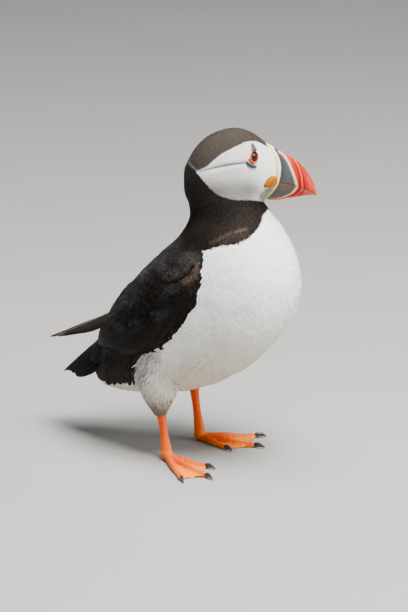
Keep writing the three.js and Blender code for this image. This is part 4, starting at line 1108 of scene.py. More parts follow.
lay("feathers_back", back_sel, M_BLACK, *round_, soft_n=0.7, spread_deg=5, tone_var=0.08, ridge=0.10, wscale=1.15, hscale=0.6, fringe=0.45, base_dark=0.2, fringe_col=np.array([0.026, 0.026, 0.029]))
lay("feathers_flank", plume_sel, M_BLACK, [0, 0.3, 0.62, 0.9, 1.0], [0.5, 0.9, 1.0, 0.72], soft_n=0.4, spread_deg=8, tone_var=0.35, ridge=0.13, fringe=0.8, fringe_col=np.array([0.034, 0.025, 0.019]))
top = white_sel & (rrow < 5.4)
mid_ = white_sel & (rrow >= 5.4) & (rrow < 7.6)
lay("feathers_breast", top, M_WHITE, *wisp, soft_n=0.98, spread_deg=7, tone_var=0.01, ridge=0.05, wscale=1.5, hscale=0.42)
lay("feathers_belly", mid_, M_WHITE, *wisp, soft_n=0.96, spread_deg=10, tone_var=0.02, ridge=0.06, wscale=1.4, hscale=0.58)
lay("feathers_vent", white_sel & (rrow >= 7.6), M_WHITE, *wisp, soft_n=0.94, spread_deg=13, tone_var=0.03, ridge=0.07, wscale=1.3, hscale=0.9)
lay("feathers_thigh", thigh_sel, M_WHITE, *wisp, soft_n=0.93, spread_deg=14, tone_var=0.04, ridge=0.07, lscale=1.25, wscale=1.25, hscale=1.05)
left = root[:, 1] > 0
lay("coverts_left", wing_sel & left, M_BLACK, *round_, soft_n=0.45, spread_deg=6, tone_var=0.2, ridge=0.12, fringe=0.5, base_dark=0.45, hscale=0.85, fringe_col=np.array([0.036, 0.030, 0.027]))
lay("coverts_right", wing_sel & ~left, M_BLACK, *round_, soft_n=0.45, spread_deg=6, tone_var=0.2, ridge=0.12, fringe=0.5, base_dark=0.45, hscale=0.85, fringe_col=np.array([0.036, 0.030, 0.027]))
lay("feathers_rump", tail_sel, M_BLACK, *round_, soft_n=0.55, spread_deg=6, tone_var=0.12, ridge=0.11, hscale=0.75, fringe=0.3, fringe_col=np.array([0.020, 0.016, 0.013]))


# ------------------------------------------------------------------ long feathers
def quill(P, Nn, halfw, thick=0.22, shaft=0.42, asym=0.0, cols=None, col=BLACK, edge=None, tipc=None, camber=0.12):
    """One closed flight feather. P points of the shaft from base to tip, Nn normals, halfw half widths, asym moves the shaft to one edge."""
    K = len(P)
    tang = np.gradient(P, axis=0)
    tang = unit(tang)
    Nn = unit(Nn - tang * np.einsum("ij,ij->i", Nn, tang)[:, None])
    S = np.cross(Nn, tang)
    lat = np.array([-1, -0.55, -0.12, 0, 0.12, 0.55, 1.0])
    V, NV, CV, UV = [], [], [], []
    edge = col * 1.0 if edge is None else edge
    tipc = edge if tipc is None else tipc
    st = np.linspace(0, 1, K)
    for k in range(K):
        w_ = halfw[k]
        off = lat * w_ + asym * w_ * (1 - np.abs(lat))
        z = -camber * (lat ** 2) * w_ + thick * np.array([0, 0.4, 0.8, 0, 0.8, 0.4, 0])
        z[3] = shaft * (1 - 0.6 * st[k]) + thick * 0.8
        top_ = P[k] + S[k] * off[:, None] + Nn[k] * z[:, None]
        under = P[k] + S[k] * off[[5, 3, 1]][:, None] + Nn[k] * (-camber * (lat[[5, 3, 1]] ** 2) * w_ - thick * 0.5)[:, None]
        V.append(np.concatenate([top_, under]))
        ntop = unit(Nn[k] + S[k] * (0.35 * lat)[:, None])
        NV.append(np.concatenate([ntop, -np.repeat(Nn[k][None], 3, 0)]))
        t = ease(0.55, 1.0, st[k])
        c_mid = col * (1 - t * 0.3) + tipc * t * 0.3
        e_ = edge * (1 - t) + tipc * t
        row_c = np.array([e_, c_mid, c_mid, c_mid * 0.7, c_mid, c_mid, e_, c_mid, c_mid, c_mid])
        CV.append(row_c)
        UV.append(np.stack([np.full(10, st[k]), np.array([0, 0.22, 0.44, 0.5, 0.56, 0.78, 1, 0.78, 0.5, 0.22])], -1))
    C_ = 10
    V = np.concatenate(V)
    q = grid_faces(K, C_)
    tcap = np.concatenate([
        np.array([[0, j + 1, j] for j in range(1, C_ - 1)]),
        np.array([[(K - 1) * C_, (K - 1) * C_ + j, (K - 1) * C_ + j + 1] for j in range(1, C_ - 1)])])
    t = np.concatenate([q[:, [0, 1, 2]], q[:, [0, 2, 3]]])
    F = np.concatenate([t, tcap])
    return V, np.concatenate(NV), np.concatenate(CV), np.concatenate(UV), F


def near_uv(p):
    """Place of a point on the skin's unwrap."""
    co, _, j, _ = tree.find_nearest(p)
    return tri_uv[j].mean(0)


def bundle(name, feathers, mat, replaces=()):
    V, NV, CV, U2, UB, F, n = [], [], [], [], [], [], 0
    for v, nv, cv, uv, f in feathers:
        # turn the faces outwards by volume
        a, b, c = v[f[:, 0]], v[f[:, 1]], v[f[:, 2]]
        m0 = v.mean(0)
        if np.einsum("ij,ij->i", a - m0, np.cross(b - m0, c - m0)).sum() < 0:
            f = f[:, ::-1]
        V.append(v); NV.append(nv); CV.append(cv); U2.append(uv)
        c0 = near_uv(v[0])
        UB.append(c0 + (uv - 0.5) * 0.003)
        F.append(f + n)
        n += len(v)
    ob = make(name, np.concatenate(V), np.concatenate(F), mat, np.concatenate(CV), {"OFBake": np.clip(np.concatenate(UB), 0, 1), "Vane": np.concatenate(U2)}, np.concatenate(NV))
    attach(ob, "root")
    if replaces:
        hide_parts(*replaces)
    print(name, len(feathers), "feathers", len(np.concatenate(F)), "triangles")
    return ob


def vane_width(st, w, base=0.35, tip=0.25, at_=0.6):
    up = base + (1 - base) * ease(0, at_ * 0.7, st)
    down = np.sqrt(np.clip(1 - ((st - at_) / (1 - at_ + 1e-6)) ** 2, 0, 1))
    down = np.where(st > at_, down, 1)
    return w * np.maximum(up * down, 0.03)


# primaries: a closed stack reaching past each wing
for sd in (-1, 1):
    fs = []
    rows_ = BLADE[sd]
    axis = unit(rows_[5, :3] - rows_[0, :3])
    wide = BLADE_UP[sd] - axis * (BLADE_UP[sd] @ axis)
    wide = unit(wide)
    flat = np.cross(axis, wide)
    if flat[1] * sd < 0:
        flat = -flat
    nf = 7
    for k in range(nf):
        g = k / (nf - 1)
        end = 5.0 - 1.75 * g
        xs = np.linspace(0.2, end, 22)
        r = along(rows_, xs)
        st = np.linspace(0, 1, 22)
        # longest feather uppermost in the fold, shorter ones below it and outside
        off = (0.55 - 1.25 * g) * r[:, 3] * 0.62
        P = r[:, :3] + wide * off[:, None] + flat * ((0.75 - 1.5 * (1 - g)) * 0.75 * r[:, 4] / 1.2)[:, None]
        hw_ = vane_width(st, 3.7, 0.8, at_=0.45)
        hw_ = np.minimum(hw_, r[:, 3] * 0.62 + 0.5)
        Nn = np.repeat(flat[None], 22, 0)
        pale_edge = np.array([0.20, 0.165, 0.125]) if k == 0 else np.array([0.018, 0.014, 0.011])
        fs.append(quill(P, Nn, hw_, thick=0.16, shaft=0.3, asym=0.45 * (1 if sd < 0 else -1), col=(np.array([0.034, 0.024, 0.018]) if k < 2 else np.array([0.012, 0.0095, 0.008])) * (1 + 0.2 * math.sin(k * 2.1)), edge=pale_edge))
    bundle("primary_feathers_" + SIDE_NAME[sd], fs, M_FLIGHT, ("primaries_" + SIDE_NAME[sd],))

# secondaries and tertials: long feathers along the wing's lower rear part
for sd in (-1, 1):
    fs = []
    # greater coverts over the secondaries
    spec = []
    for k in range(11):
        g = k / 10
        spec.append((2.8 + 3.1 * g, 0.90 - 0.34 * g, 5.4 + 3.1 * g, 0.965 - 0.45 * g, 3.1 + 0.7 * g, 1.25 + 0.05 * k))
    for k in range(5):
        g = k / 4
        spec.append((4.8 + 0.9 * g, 0.50 - 0.34 * g, 8.4 + 0.3 * g, 0.58 - 0.32 * g, 4.0, 1.7 + 0.10 * k))
    for n_, (x0, u0, x1, u1, w_, h_) in enumerate(spec):
        st = np.linspace(0, 1, 16)
        xs = x0 + (x1 - x0) * st
        us = u0 + (u1 - u0) * st ** 1.2
        P = wing_point(xs, us, -0.9, sd)
        e = 0.08
        a = wing_point(xs + e, us, 0, sd) - wing_point(xs - e, us, 0, sd)
        b = wing_point(xs, np.clip(us + 0.02, 0, 1), 0, sd) - wing_point(xs, np.clip(us - 0.02, 0, 1), 0, sd)
        Nn = unit(np.cross(a, b))
        if (Nn[:, 1] * sd).sum() < 0:
            Nn = -Nn
        Nn = unit(Nn + 0.0)
        P = P + Nn * (h_ * ease(0, 0.45, st) - 0.1)[:, None]
        fs.append(quill(P, Nn, vane_width(st, w_, 0.5, at_=0.7), thick=0.14, shaft=0.22, asym=0.2 * sd, col=np.array([0.0090, 0.0072, 0.0062]) * (1 + 0.25 * math.sin(n_ * 1.7)), edge=np.array([0.015, 0.0115, 0.0095]), tipc=np.array([0.010, 0.008, 0.007]), camber=0.10))
    bundle("secondary_feathers_" + SIDE_NAME[sd], fs, M_FLIGHT)

# tail
fs = []
nt_ = 14
for k in range(nt_):
    g = -1 + 2 * k / (nt_ - 1)
    phi = 0.93 * g
    end = 5.0 - 1.5 * abs(g) ** 1.6
    xs = np.linspace(0.9, end, 20)
    st = np.linspace(0, 1, 20)
    P = tail_point(xs, phi, 0.0, 1.0)
    e = 0.05
    a = tail_point(np.clip(xs + e, 0, 5), phi) - tail_point(np.clip(xs - e, 0, 5), phi)
    b = tail_point(xs, np.clip(phi + 0.02, -1, 1)) - tail_point(xs, np.clip(phi - 0.02, -1, 1))
    Nn = unit(np.cross(a, b))
    if Nn[:, 2].sum() < 0:
        Nn = -Nn
    r = along(TAIL, xs)
    P = P - Nn * (0.5 + 0.35 * abs(g) * 3)  # outer feathers lie under the middle ones
    hw_ = vane_width(st, 3.4, 0.7, at_=0.72)
    hw_ = np.minimum(hw_, r[:, 2] * 0.30 + 1.2)
    fs.append(quill(P, Nn, hw_, thick=0.16, shaft=0.3, col=np.array([0.0090, 0.0074, 0.0066]) * (1 + 0.25 * math.sin(k * 2.3)), edge=np.array([0.018, 0.0145, 0.012]), camber=0.08))
bundle("tail_feathers", fs, M_FLIGHT, ("tail",))

# ------------------------------------------------------------------ bill
RIDGE_U = (np.array([197.8, 203.5, 209.2, 214.2, 218.4, 221.3]), np.array([47.0, 45.6, 43.5, 41.4, 38.6, 35.1]))
RIDGE_L = (np.array([187.7, 189.8, 192.6, 196.8]), np.array([28.5, 37.4, 43.6, 47.0]))
GROOVES_U = [
    (np.array([197.5, 203.9, 210.3, 216.0]), np.array([48.6, 48.5, 47.0, 43.8]), 0.42, -0.34, "dark"),
    (np.array([198.1, 205.2, 212.3, 217]), np.array([50.7, 50.0, 47.6, 44.4]), 0.36, 0.10, "pale"),
    (np.array([197.2, 204.3, 211.5, 216]), np.array([52.0, 51.3, 49.0, 46.0]), 0.40, -0.26, "dark"),
    (np.array([197.2, 203.3, 209.5]), np.array([54.6, 53.7, 51.6]), 0.5, -0.12, "soft")]
GROOVES_L = [
    (np.array([188.4, 190.0, 192.8, 196.8]), np.array([34.0, 42.0, 46.4, 49.0]), 0.42, -0.32, "dark"),
    (np.array([188.6, 190.2, 193, 196.4]), np.array([39.0, 45.8, 49.0, 51.2]), 0.36, 0.14, "pale"),
    (np.array([188.8, 190.4, 193, 196.0]), np.array([42.0, 48.2, 50.8, 52.8]), 0.4, -0.2, "dark")]
SLATE = np.array([0.030, 0.0345, 0.041])
SLATE2 = np.array([0.066, 0.069, 0.075])
GAPE = np.array([0.090, 0.055, 0.033])
CREAM = np.array([0.86, 0.62, 0.46])
CREAM_Y = np.array([0.74, 0.60, 0.32])
RED = np.array([0.37, 0.005, 0.0])
RED_UP = np.array([0.56, 0.030, 0.0])
DARKRED = np.array([0.17, 0.004, 0.001])
ORANGE = np.array([0.64, 0.050, 0.0])
PINKISH = np.array([0.78, 0.25, 0.16])


def bill_paint(f, s, z, upper):
    ridge = np.interp(z, *(RIDGE_U if upper else RIDGE_L))
    g = f - ridge
    top, bottom, w = bill_row(f)
    base_in = ease(0, 5.0, f - (face_line(z) + BAND))
    plate = SLATE[None] * (1 - base_in[:, None] * 0.7) + SLATE2[None] * base_in[:, None] * 0.7
    if not upper:
        plate = plate * 0.45 + np.array([0.095, 0.072, 0.052]) * 0.55
    m = mouth_z(f)
    gape = ease(4.2, 0.6, np.abs(z - m)) * 0.8
    plate = plate * (1 - gape[:, None]) + GAPE * gape[:, None]
    streak = 0.10 * np.sin(f * 5.1 + 0.6 * np.sin(z * 0.9)) + 0.06 * np.sin(f * 11.3 + z * 0.8)
    plate = plate * (1 + streak[:, None])
    if not upper:
        lowb = ease(4.5, 1.0, z - bottom)
        plate = plate * (1 - 0.55 * lowb[:, None]) + 0.55 * lowb[:, None] * np.array([0.36, 0.26, 0.16])
    hi = ease(6, 0, top - z) if upper else 0 * f
    red = RED[None] * (1 - hi[:, None] * 0.75) + RED_UP * hi[:, None] * 0.75
    if upper:
        # painted pinkish sheen on the side towards the tip, orange hook
        pink_sheen = ease(52, 56, f) * ease(1.2, 4.0, top - z) * (0.45 + 0.35 * np.sin(f * 7.0 + z * 3.3) * np.sin(z * 2.1 - f * 1.7))
        pink_sheen = np.clip(pink_sheen, 0, 1)
        red = red * (1 - 0.32 * pink_sheen[:, None]) + PINKISH * 0.32 * pink_sheen[:, None]
        hook = ease(58.6, 60.4, f)
        red = red * (1 - hook[:, None]) + ORANGE * hook[:, None]
    else:
        # painted pinkish sheen towards the tip
        pink_sheen = ease(49, 53, f) * (0.55 + 0.3 * np.sin(f * 6.0 + z * 4.3))
        red = red * (1 - 0.6 * pink_sheen[:, None]) + PINKISH * 0.6 * pink_sheen[:, None]
        orange = ease(47, 36, f)
        red = red * (1 - 0.6 * orange[:, None]) + ORANGE * 0.6 * orange[:, None]
    past = ease(-0.3, 0.5, g)
    col = plate * (1 - past[:, None]) + red * past[:, None]
    rw = 0.78 if upper else 0.75
    ridge_c = CREAM if upper else CREAM_Y * ease(44, 36, f)[:, None] + CREAM * (1 - ease(44, 36, f))[:, None]
    if upper:
        ridge_c = np.repeat(CREAM[None], len(f), 0)
        # salmon where the ridge runs into the culmen
        sal = ease(216, 220, z)
        ridge_c = ridge_c * (1 - 0.4 * sal[:, None]) + np.array([0.87, 0.36, 0.25]) * 0.4 * sal[:, None]
    k = bell(g + 0.2, rw)
    col = col * (1 - 0.92 * k[:, None]) + 0.92 * k[:, None] * ridge_c
    if not upper:
        under = ease(1.6, 0.4, z - bottom) * ease(45, 38, f)
        col = col * (1 - 0.9 * under[:, None]) + 0.9 * under[:, None] * CREAM_Y
    for zs, fs_, w_, dz, kind in (GROOVES_U if upper else GROOVES_L):
        if upper:
            inside = ease(zs[-1] + 2.0, zs[-1] - 1.0, z)
        else:
            inside = ease(zs[0] - 0.6, zs[0] + 0.2, z)
        kk = bell(f - np.interp(z, zs, fs_), w_ * 1.15) * inside
        c = {"dark": DARKRED, "pale": np.array([0.80, 0.30, 0.18]), "soft": DARKRED * 0.6 + RED * 0.4}[kind]
        amt = {"dark": 0.9, "pale": 0.34, "soft": 0.4}[kind]
        col = col * (1 - amt * kk[:, None]) + amt * kk[:, None] * c
    # dark line at the mouth
    lip = bell(z - m, 0.28) * 0.75 * ease(60.5, 57, f)
    col = col * (1 - lip[:, None]) + lip[:, None] * np.array([0.05, 0.03, 0.022])
    return np.clip(col, 0, 1)


def bill_offset(f, z, upper):
    g = f - np.interp(z, *(RIDGE_U if upper else RIDGE_L))
    off = 0.32 * bell(g + 0.1, 0.9) - 0.12 * ease(-0.8, -2.5, g)
    for zs, fs_, w_, dz, kind in (GROOVES_U if upper else GROOVES_L):
        if upper:
            inside = ease(zs[-1] + 2.0, zs[-1] - 1.0, z)
        else:
            inside = ease(zs[0] - 0.6, zs[0] + 0.2, z)
        off = off + dz * bell(f - np.interp(z, zs, fs_), w_) * inside
    return off


def mandible(upper):
    n1, n2 = 120, 34
    fs_ = np.linspace(26.5, 60.85 if upper else 58.6, n1)
    rings = []
    for f in fs_:
        top, bottom, w = bill_row(f)
        top, bottom, w = float(top), float(bottom), float(w)
        mid = bottom + (top - bottom) * 0.4
        m = float(mouth_z(f))
        if upper:
            lo = m + 0.06
            if f > 57.6:
                lo = lo + (bottom + 1.1 * float(ease(59.4, 60.85, f)) - lo) * float(ease(57.6, 60.6, f))
            t = np.linspace(0, 1, n2)
            z = lo + (top - lo) * np.sin(t * np.pi / 2)
        else:
            hi = m - 0.06
            t = np.linspace(0, 1, n2)
            z = hi - (hi - bottom) * np.sin(t * np.pi / 2)
            z = np.minimum(z, hi)
        reach = np.where(z > mid, top - mid, mid - bottom)
        c = np.clip((z - mid) / reach, -1, 1)
        s = w * np.sqrt(1 - c * c) ** 0.85
        if upper:
            s = s * (1 - 0.18 * ease(0.2, 1.0, c))
        off = bill_offset(np.full_like(z, f), z, upper) * np.clip(s / 2.0, 0, 1)
        s = np.maximum(s + off, 0)
        rings.append(np.concatenate([np.stack([np.full(n2, f), s, z], -1), np.stack([np.full(n2 - 1, f), -s[:-1], z[:-1]], -1)[::-1]]))
    rings = np.array(rings)
    sh = rings.shape
    flat_ = rings.reshape(-1, 3)
    col = bill_paint(flat_[:, 0], flat_[:, 1], flat_[:, 2], upper)
    P = head_point(flat_[:, 0], flat_[:, 1], flat_[:, 2]).reshape(sh)
    v, f_ = loft(P)
    col = np.concatenate([col, col[:1], col[-1:]])
    name = "bill_horn_upper" if upper else "bill_horn_lower"
    ob = make(name, v, f_, M_HORN, col)
    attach(ob, "root")
    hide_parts("bill_upper" if upper else "bill_lower")
    return ob


mandible(True)
mandible(False)

# cere: two raised bands round the base of the bill
nq, nd = 120, 22
q = np.linspace(0, 2 * np.pi, nq, endpoint=False)
dd = np.linspace(-0.9, BAND + 0.25, nd)
rings, cols = [], []
for dv in dd:
    f = np.full(nq, 31.0)
    z = np.full(nq, 205.0)
    for _ in range(5):
        top, bottom, w = bill_row(f)
        mid = bottom + (top - bottom) * 0.4
        c = np.cos(q)
        reach = np.where(c > 0, top - mid, mid - bottom)
        z = mid + reach * c
        narrow = 0.45 + 0.55 * ease(186.5, 200, z)
        f = face_line(z) + dv * narrow
    s = w * spow(np.sin(q), 0.85)
    s = s * np.where(c > 0, 1 - 0.18 * ease(0.2, 1.0, c), 1)
    h = 0.95 * bell(dv - 0.75, 0.95) + 0.72 * bell(dv - 2.45, 0.85) + 0.12
    h = h * ease(-0.95, -0.2, dv) if dv < 0 else h
    h = h * (1 - ease(3.0, 3.55, dv)) - 0.25 * ease(3.0, 3.55, dv)
    h = h * (0.55 + 0.45 * ease(188, 200, z))
    h = h + 0.10 * np.sin(q * 36 + 3 * np.sin(q * 5)) * bell(dv - 2.45, 0.8) * ease(212, 220, z)
    nrm = np.stack([0 * q, spow(np.sin(q), 1.0) * (top - bottom) / 2, c * w], -1)
    nrm = unit(nrm)
    s2 = s + nrm[:, 1] * h
    z2 = z + nrm[:, 2] * h
    rings.append(head_point(f, s2, z2))
    inner = np.array([0.70, 0.44, 0.25])
    outer = np.array([0.86, 0.76, 0.52])
    k = ease(1.2, 1.9, dv)
    base_c = inner * (1 - k) + outer * k
    cc = np.repeat(base_c[None], nq, 0)
    low_ = ease(203, 195, z)[:, None]
    cc = cc * (1 - 0.6 * low_) + 0.6 * low_ * np.array([0.50, 0.33, 0.13])
    upc = ease(217, 221, z)[:, None]
    cc = cc * (1 - 0.7 * upc) + 0.7 * upc * np.array([0.85, 0.72, 0.52])
    # painted shade in the groove between the two raised bands
    gr = bell(dv - 1.6, 0.3) * 0.35
    cc = cc * (1 - gr)
    pit = 1 + 0.10 * np.sin(q * 57 + dv * 9) * np.sin(q * 31 - dv * 5)
    cols.append(cc * pit[:, None])
rings = np.array(rings)
inner_ring = rings[::-1] - 0.0
# close it as a thin shell: go back inside
back_rings = []
for k in range(nd)[::-1]:
    c0 = rings[k].mean(0)
    back_rings.append(c0 + (rings[k] - c0) * 0.86)
allr = np.concatenate([rings, np.array(back_rings)])
R_, C__ = allr.shape[:2]
v = allr.reshape(-1, 3)
fq = grid_faces(R_, C__)
j = np.arange(C__)
k = (j + 1) % C__
last = (R_ - 1) * C__
fq = np.concatenate([fq, np.stack([last + j, last + k, k, j], -1)])
a, b, c = v[fq[:, 0]], v[fq[:, 1]], v[fq[:, 2]]
if np.einsum("ij,ij->i", a - v.mean(0), np.cross(b - v.mean(0), c - v.mean(0))).sum() < 0:
    fq = fq[:, ::-1]
cc = np.concatenate([np.array(cols), np.array(cols)[::-1]]).reshape(-1, 3)
cere = make("cere_band", v, fq, M_CERE, cc)
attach(cere, "root")
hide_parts("bill_band")


# ------------------------------------------------------------------ eye and its ornaments
def local_frame(side, f, z):
    """Point and axes (forwards, up, out) of the side of the head."""
    e = 1.5
    sf = (head_side(f + e, z) - head_side(f - e, z)) / (2 * e)
    sz = (head_side(f, z + e) - head_side(f, z - e)) / (2 * e)
    n = unit(-sf * FX - sz * UPZ + side * SX)
    fw = unit(FX - n * (FX @ n))
    up = unit(UPZ - n * (UPZ @ n) - fw * (UPZ @ fw))
    return head_point(f, side * float(head_side(f, z)), z), fw, up, n


def on_side(side, f, z, h):
    """Points standing h above the side of the head at (f, z)."""
    f, z, h = np.broadcast_arrays(np.asarray(f, float), np.asarray(z, float), np.asarray(h, float))
    e = 1.0
    sf = (head_side(f + e, z) - head_side(f - e, z)) / (2 * e)
    sz = (head_side(f, z + e) - head_side(f, z - e)) / (2 * e)
    n = unit(-sf[..., None] * FX - sz[..., None] * UPZ + side * SX)
    return head_point(f, side * head_side(f, z), z) + n * h[..., None]


def pad(name, side, outline, height, mat, colour, replaces, wrinkle=None, rings_=14):
    """A cushion-like pad on the side of the head over an outline of (f, z) points."""
    outline = np.array(outline)
    c = outline.mean(0)
    n = len(outline)
    top_, cols_ = [], []
    ts = np.linspace(0.0, 1.0, rings_)
    for t in ts:
        p = c + (outline - c) * t
        h = height * np.sqrt(max(0.0, 1 - t ** 2.6)) - 0.55 * ease(0.86, 1.0, t)
        hh_ = np.full(n, float(h))
        if wrinkle is not None:
            hh_ = hh_ + wrinkle(p) * (1 - t ** 4)
        top_.append(on_side(side, p[:, 0], p[:, 1], hh_))
        cols_.append(colour(p, t))
    for t in (0.9, 0.5, 0.0):
        p = c + (outline - c) * t
        top_.append(on_side(side, p[:, 0], p[:, 1], np.full(n, -0.9)))
        cols_.append(colour(p, 1.0))
    P = np.array(top_)
    v, f_ = loft(P)
    col = np.concatenate([np.array(cols_).reshape(-1, 3), cols_[0][:1], cols_[-1][:1]])
    ob = make(name, v, f_, mat, col)
    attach(ob, "root")
    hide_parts(*replaces)
    return ob


def smooth_outline(points, n=48):
    P = np.array(points, float)
    m = len(P)
    t = np.linspace(0, m, n, endpoint=False)
    i = np.floor(t).astype(int)
    f = (t - i)[:, None]
    a, b, c, e = (P[(i + k) % m] for k in (-1, 0, 1, 2))
    return 0.5 * (2 * b + (c - a) * f + (2 * a - 5 * b + 4 * c - e) * f ** 2 + (3 * b - a - 3 * c + e) * f ** 3)


BALL_F, BALL_Z, BALL_R, BALL_SINK = 17.35, 221.15, 3.3, 2.25  # the ball as its lids show it
for sd in (-1, 1):
    hs_ = -sd  # side in the head's frame: the right side is +1
    nm = SIDE_NAME[sd]
    # eyeball with iris and pupil
    o_, fw, up, nn_ = local_frame(hs_, BALL_F, BALL_Z)
    ctr = o_ - nn_ * BALL_SINK
    th = np.concatenate([np.linspace(0.0, 0.9, 30), np.linspace(0.95, np.pi, 16)])
    ph = np.linspace(0, 2 * np.pi, 48, endpoint=False)
    rad = BALL_R + 0.16 * bell(th, 0.55)
    ringsE = np.array([ctr + nn_ * (r_ * math.cos(t_)) + (np.cos(ph)[:, None] * fw + np.sin(ph)[:, None] * up) * (r_ * math.sin(max(t_, 1e-3))) for t_, r_ in zip(th, rad)])
    colsE = []
    for t_ in th:
        pup = ease(0.46, 0.40, t_)
        lim = ease(0.72, 0.86, t_)
        iris = np.array([0.034, 0.017, 0.010]) * (1 + 0.25 * np.sin(ph * 23 + 9 * t_)[:, None])
        cI = iris * (1 - pup) + np.array([0.003, 0.003, 0.004]) * pup
        cI = cI * (1 - lim) + np.array([0.012, 0.009, 0.008]) * lim
        colsE.append(cI)
    v, f_ = loft(ringsE)
    colsE = np.concatenate([np.array(colsE).reshape(-1, 3), np.array([[0.003, 0.003, 0.004], [0.01, 0.008, 0.008]])])
    eye = make("eyeball_" + nm, v, f_, M_EYE, colsE)
    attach(eye, "root")
    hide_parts("eye_" + nm)
    # naked ring round the eye, drawn out to a point behind and below
    nq2 = 72
    t = np.linspace(0, 2 * np.pi, nq2, endpoint=False)
    inner_f = 17.05 + 1.95 * np.cos(t)
    inner_z = 221.15 + 2.85 * np.sin(t)
    outer_f = 17.1 + 2.95 * np.cos(t)
    outer_z = 220.75 + 3.95 * np.sin(t)
    tail_ = bell((t - math.radians(208)), 0.36)
    outer_f = outer_f - 1.5 * tail_
    outer_z = outer_z + 0.5 * tail_
    ringsO, colsO = [], []
    for u_ in np.linspace(0, 1, 15):
        f = inner_f + (outer_f - inner_f) * u_
        z = inner_z + (outer_z - inner_z) * u_
        rr_ = np.hypot(f - BALL_F, z - BALL_Z)
        ball = np.sqrt(np.maximum(BALL_R ** 2 - np.minimum(rr_, BALL_R) ** 2, 0)) - BALL_SINK
        h = ball * (1 - u_) ** 1.5 + 0.28 + 0.55 * math.sin(math.pi * min(1, u_ * 1.05)) - 0.9 * ease(0.75, 1.0, u_)
        h = h + 0.06 * np.sin(t * 22) * math.sin(math.pi * u_)
        ringsO.append(on_side(hs_, f, z, h))
        red_ = np.array([0.62, 0.035, 0.006]) * (1 - 0.45 * ease(0.25, 0.0, u_))
        cO = np.repeat(red_[None], nq2, 0) * (1 + 0.10 * np.sin(t * 22))[:, None]
        up_ = ease(0.1, 0.9, np.sin(t))[:, None]
        cO = cO * (1 - 0.35 * up_)
        colsO.append(cO)
    for u_ in (1.0, 0.5, 0.0):
        f = inner_f + (outer_f - inner_f) * u_
        z = inner_z + (outer_z - inner_z) * u_
        ringsO.append(on_side(hs_, f, z, -1.1 + 0 * f))
        colsO.append(colsO[-1])
    allr = np.array(ringsO)
    R_, C__ = allr.shape[:2]
    v = allr.reshape(-1, 3)
    fq = grid_faces(R_, C__)
    j = np.arange(C__); k = (j + 1) % C__; last = (R_ - 1) * C__
    fq = np.concatenate([fq, np.stack([last + j, last + k, k, j], -1)])
    a, b, c = v[fq[:, 0]], v[fq[:, 1]], v[fq[:, 2]]
    if (np.cross(b - a, c - a) @ nn_)[: nq2 * 8].sum() < 0:
        fq = fq[:, ::-1]
    ring = make("eyelid_ring_" + nm, v, fq, M_RING, np.array(colsO).reshape(-1, 3))
    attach(ring, "root")
    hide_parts("orbital_ring_" + nm)
    # horny plates over and under the eye
    upl = smooth_outline([[15.5, 229.7], [16.5, 229.3], [17.9, 227.0], [18.9, 224.7], [17.4, 224.4], [15.9, 224.8], [15.2, 227.2]])
    pad("plate_upper_" + nm, hs_, upl, 1.15, M_PLATE, lambda p, t_: np.where((p[:, :1] - (p[:, 1:] - 225) * -0.28 - 16.3 > 0), np.array([0.060, 0.072, 0.080]), np.array([0.27, 0.185, 0.16])) * (1 - 0.35 * t_ ** 4), ("upper_plate_" + nm,),
        wrinkle=lambda p: 0.10 * np.sin(p[:, 0] * 5.5))
    lpl = smooth_outline([[11.3, 218.3], [14.0, 217.5], [16.0, 216.4], [17.6, 215.7], [18.9, 214.4], [17.4, 213.7], [14.9, 214.2], [12.4, 215.9]])
    pad("plate_lower_" + nm, hs_, lpl, 1.2, M_PLATE, lambda p, t_: np.repeat(np.array([[0.040, 0.058, 0.056]]), len(p), 0) * (1 + 0.25 * np.sin(p[:, :1] * 4)) * (1 - 0.35 * t_ ** 4), ("lower_plate_" + nm,),
        wrinkle=lambda p: 0.10 * np.sin(p[:, 1] * 6.0 + p[:, 0] * 1.6))
    # rosette at the corner of the gape: an outer pad, folded along the mouth
    ros = smooth_outline([[23.9, 199.6], [24.8, 202.0], [26.8, 204.9], [29.8, 206.5], [32.6, 205.6], [33.4, 203.0], [32.2, 200.4], [29.6, 199.0], [26.6, 198.6]])
    tt = math.radians(38)

    def ros_col(p, t_):
        x = (p[:, 0] - 28.5) * math.cos(tt) + (p[:, 1] - 202) * math.sin(tt)
        y = -(p[:, 0] - 28.5) * math.sin(tt) + (p[:, 1] - 202) * math.cos(tt)
        c = np.array([0.35, 0.120, 0.0]) * (1 + 0.20 * np.sin(y * 3.4))[:, None]
        # darker along the fold: painted shade in its crease
        slit = bell(y - 0.15 * np.sin(x), 0.30) * (np.abs(x) < 3.4)
        c = c * (1 - 0.65 * slit[:, None]) + 0.65 * slit[:, None] * np.array([0.20, 0.045, 0.0])
        edge_ = t_ ** 5
        return c * (1 - 0.4 * edge_)

    def ros_h(p):
        x = (p[:, 0] - 28.5) * math.cos(tt) + (p[:, 1] - 202) * math.sin(tt)
        y = -(p[:, 0] - 28.5) * math.sin(tt) + (p[:, 1] - 202) * math.cos(tt)
        return -0.55 * bell(y, 0.45) * (np.abs(x) < 3.6) + 0.14 * np.sin(y * 3.4)

    pad("rosette_pad_" + nm, hs_, ros, 2.1, M_ROSE, ros_col, ("rosette_" + nm,), wrinkle=ros_h, rings_=20)


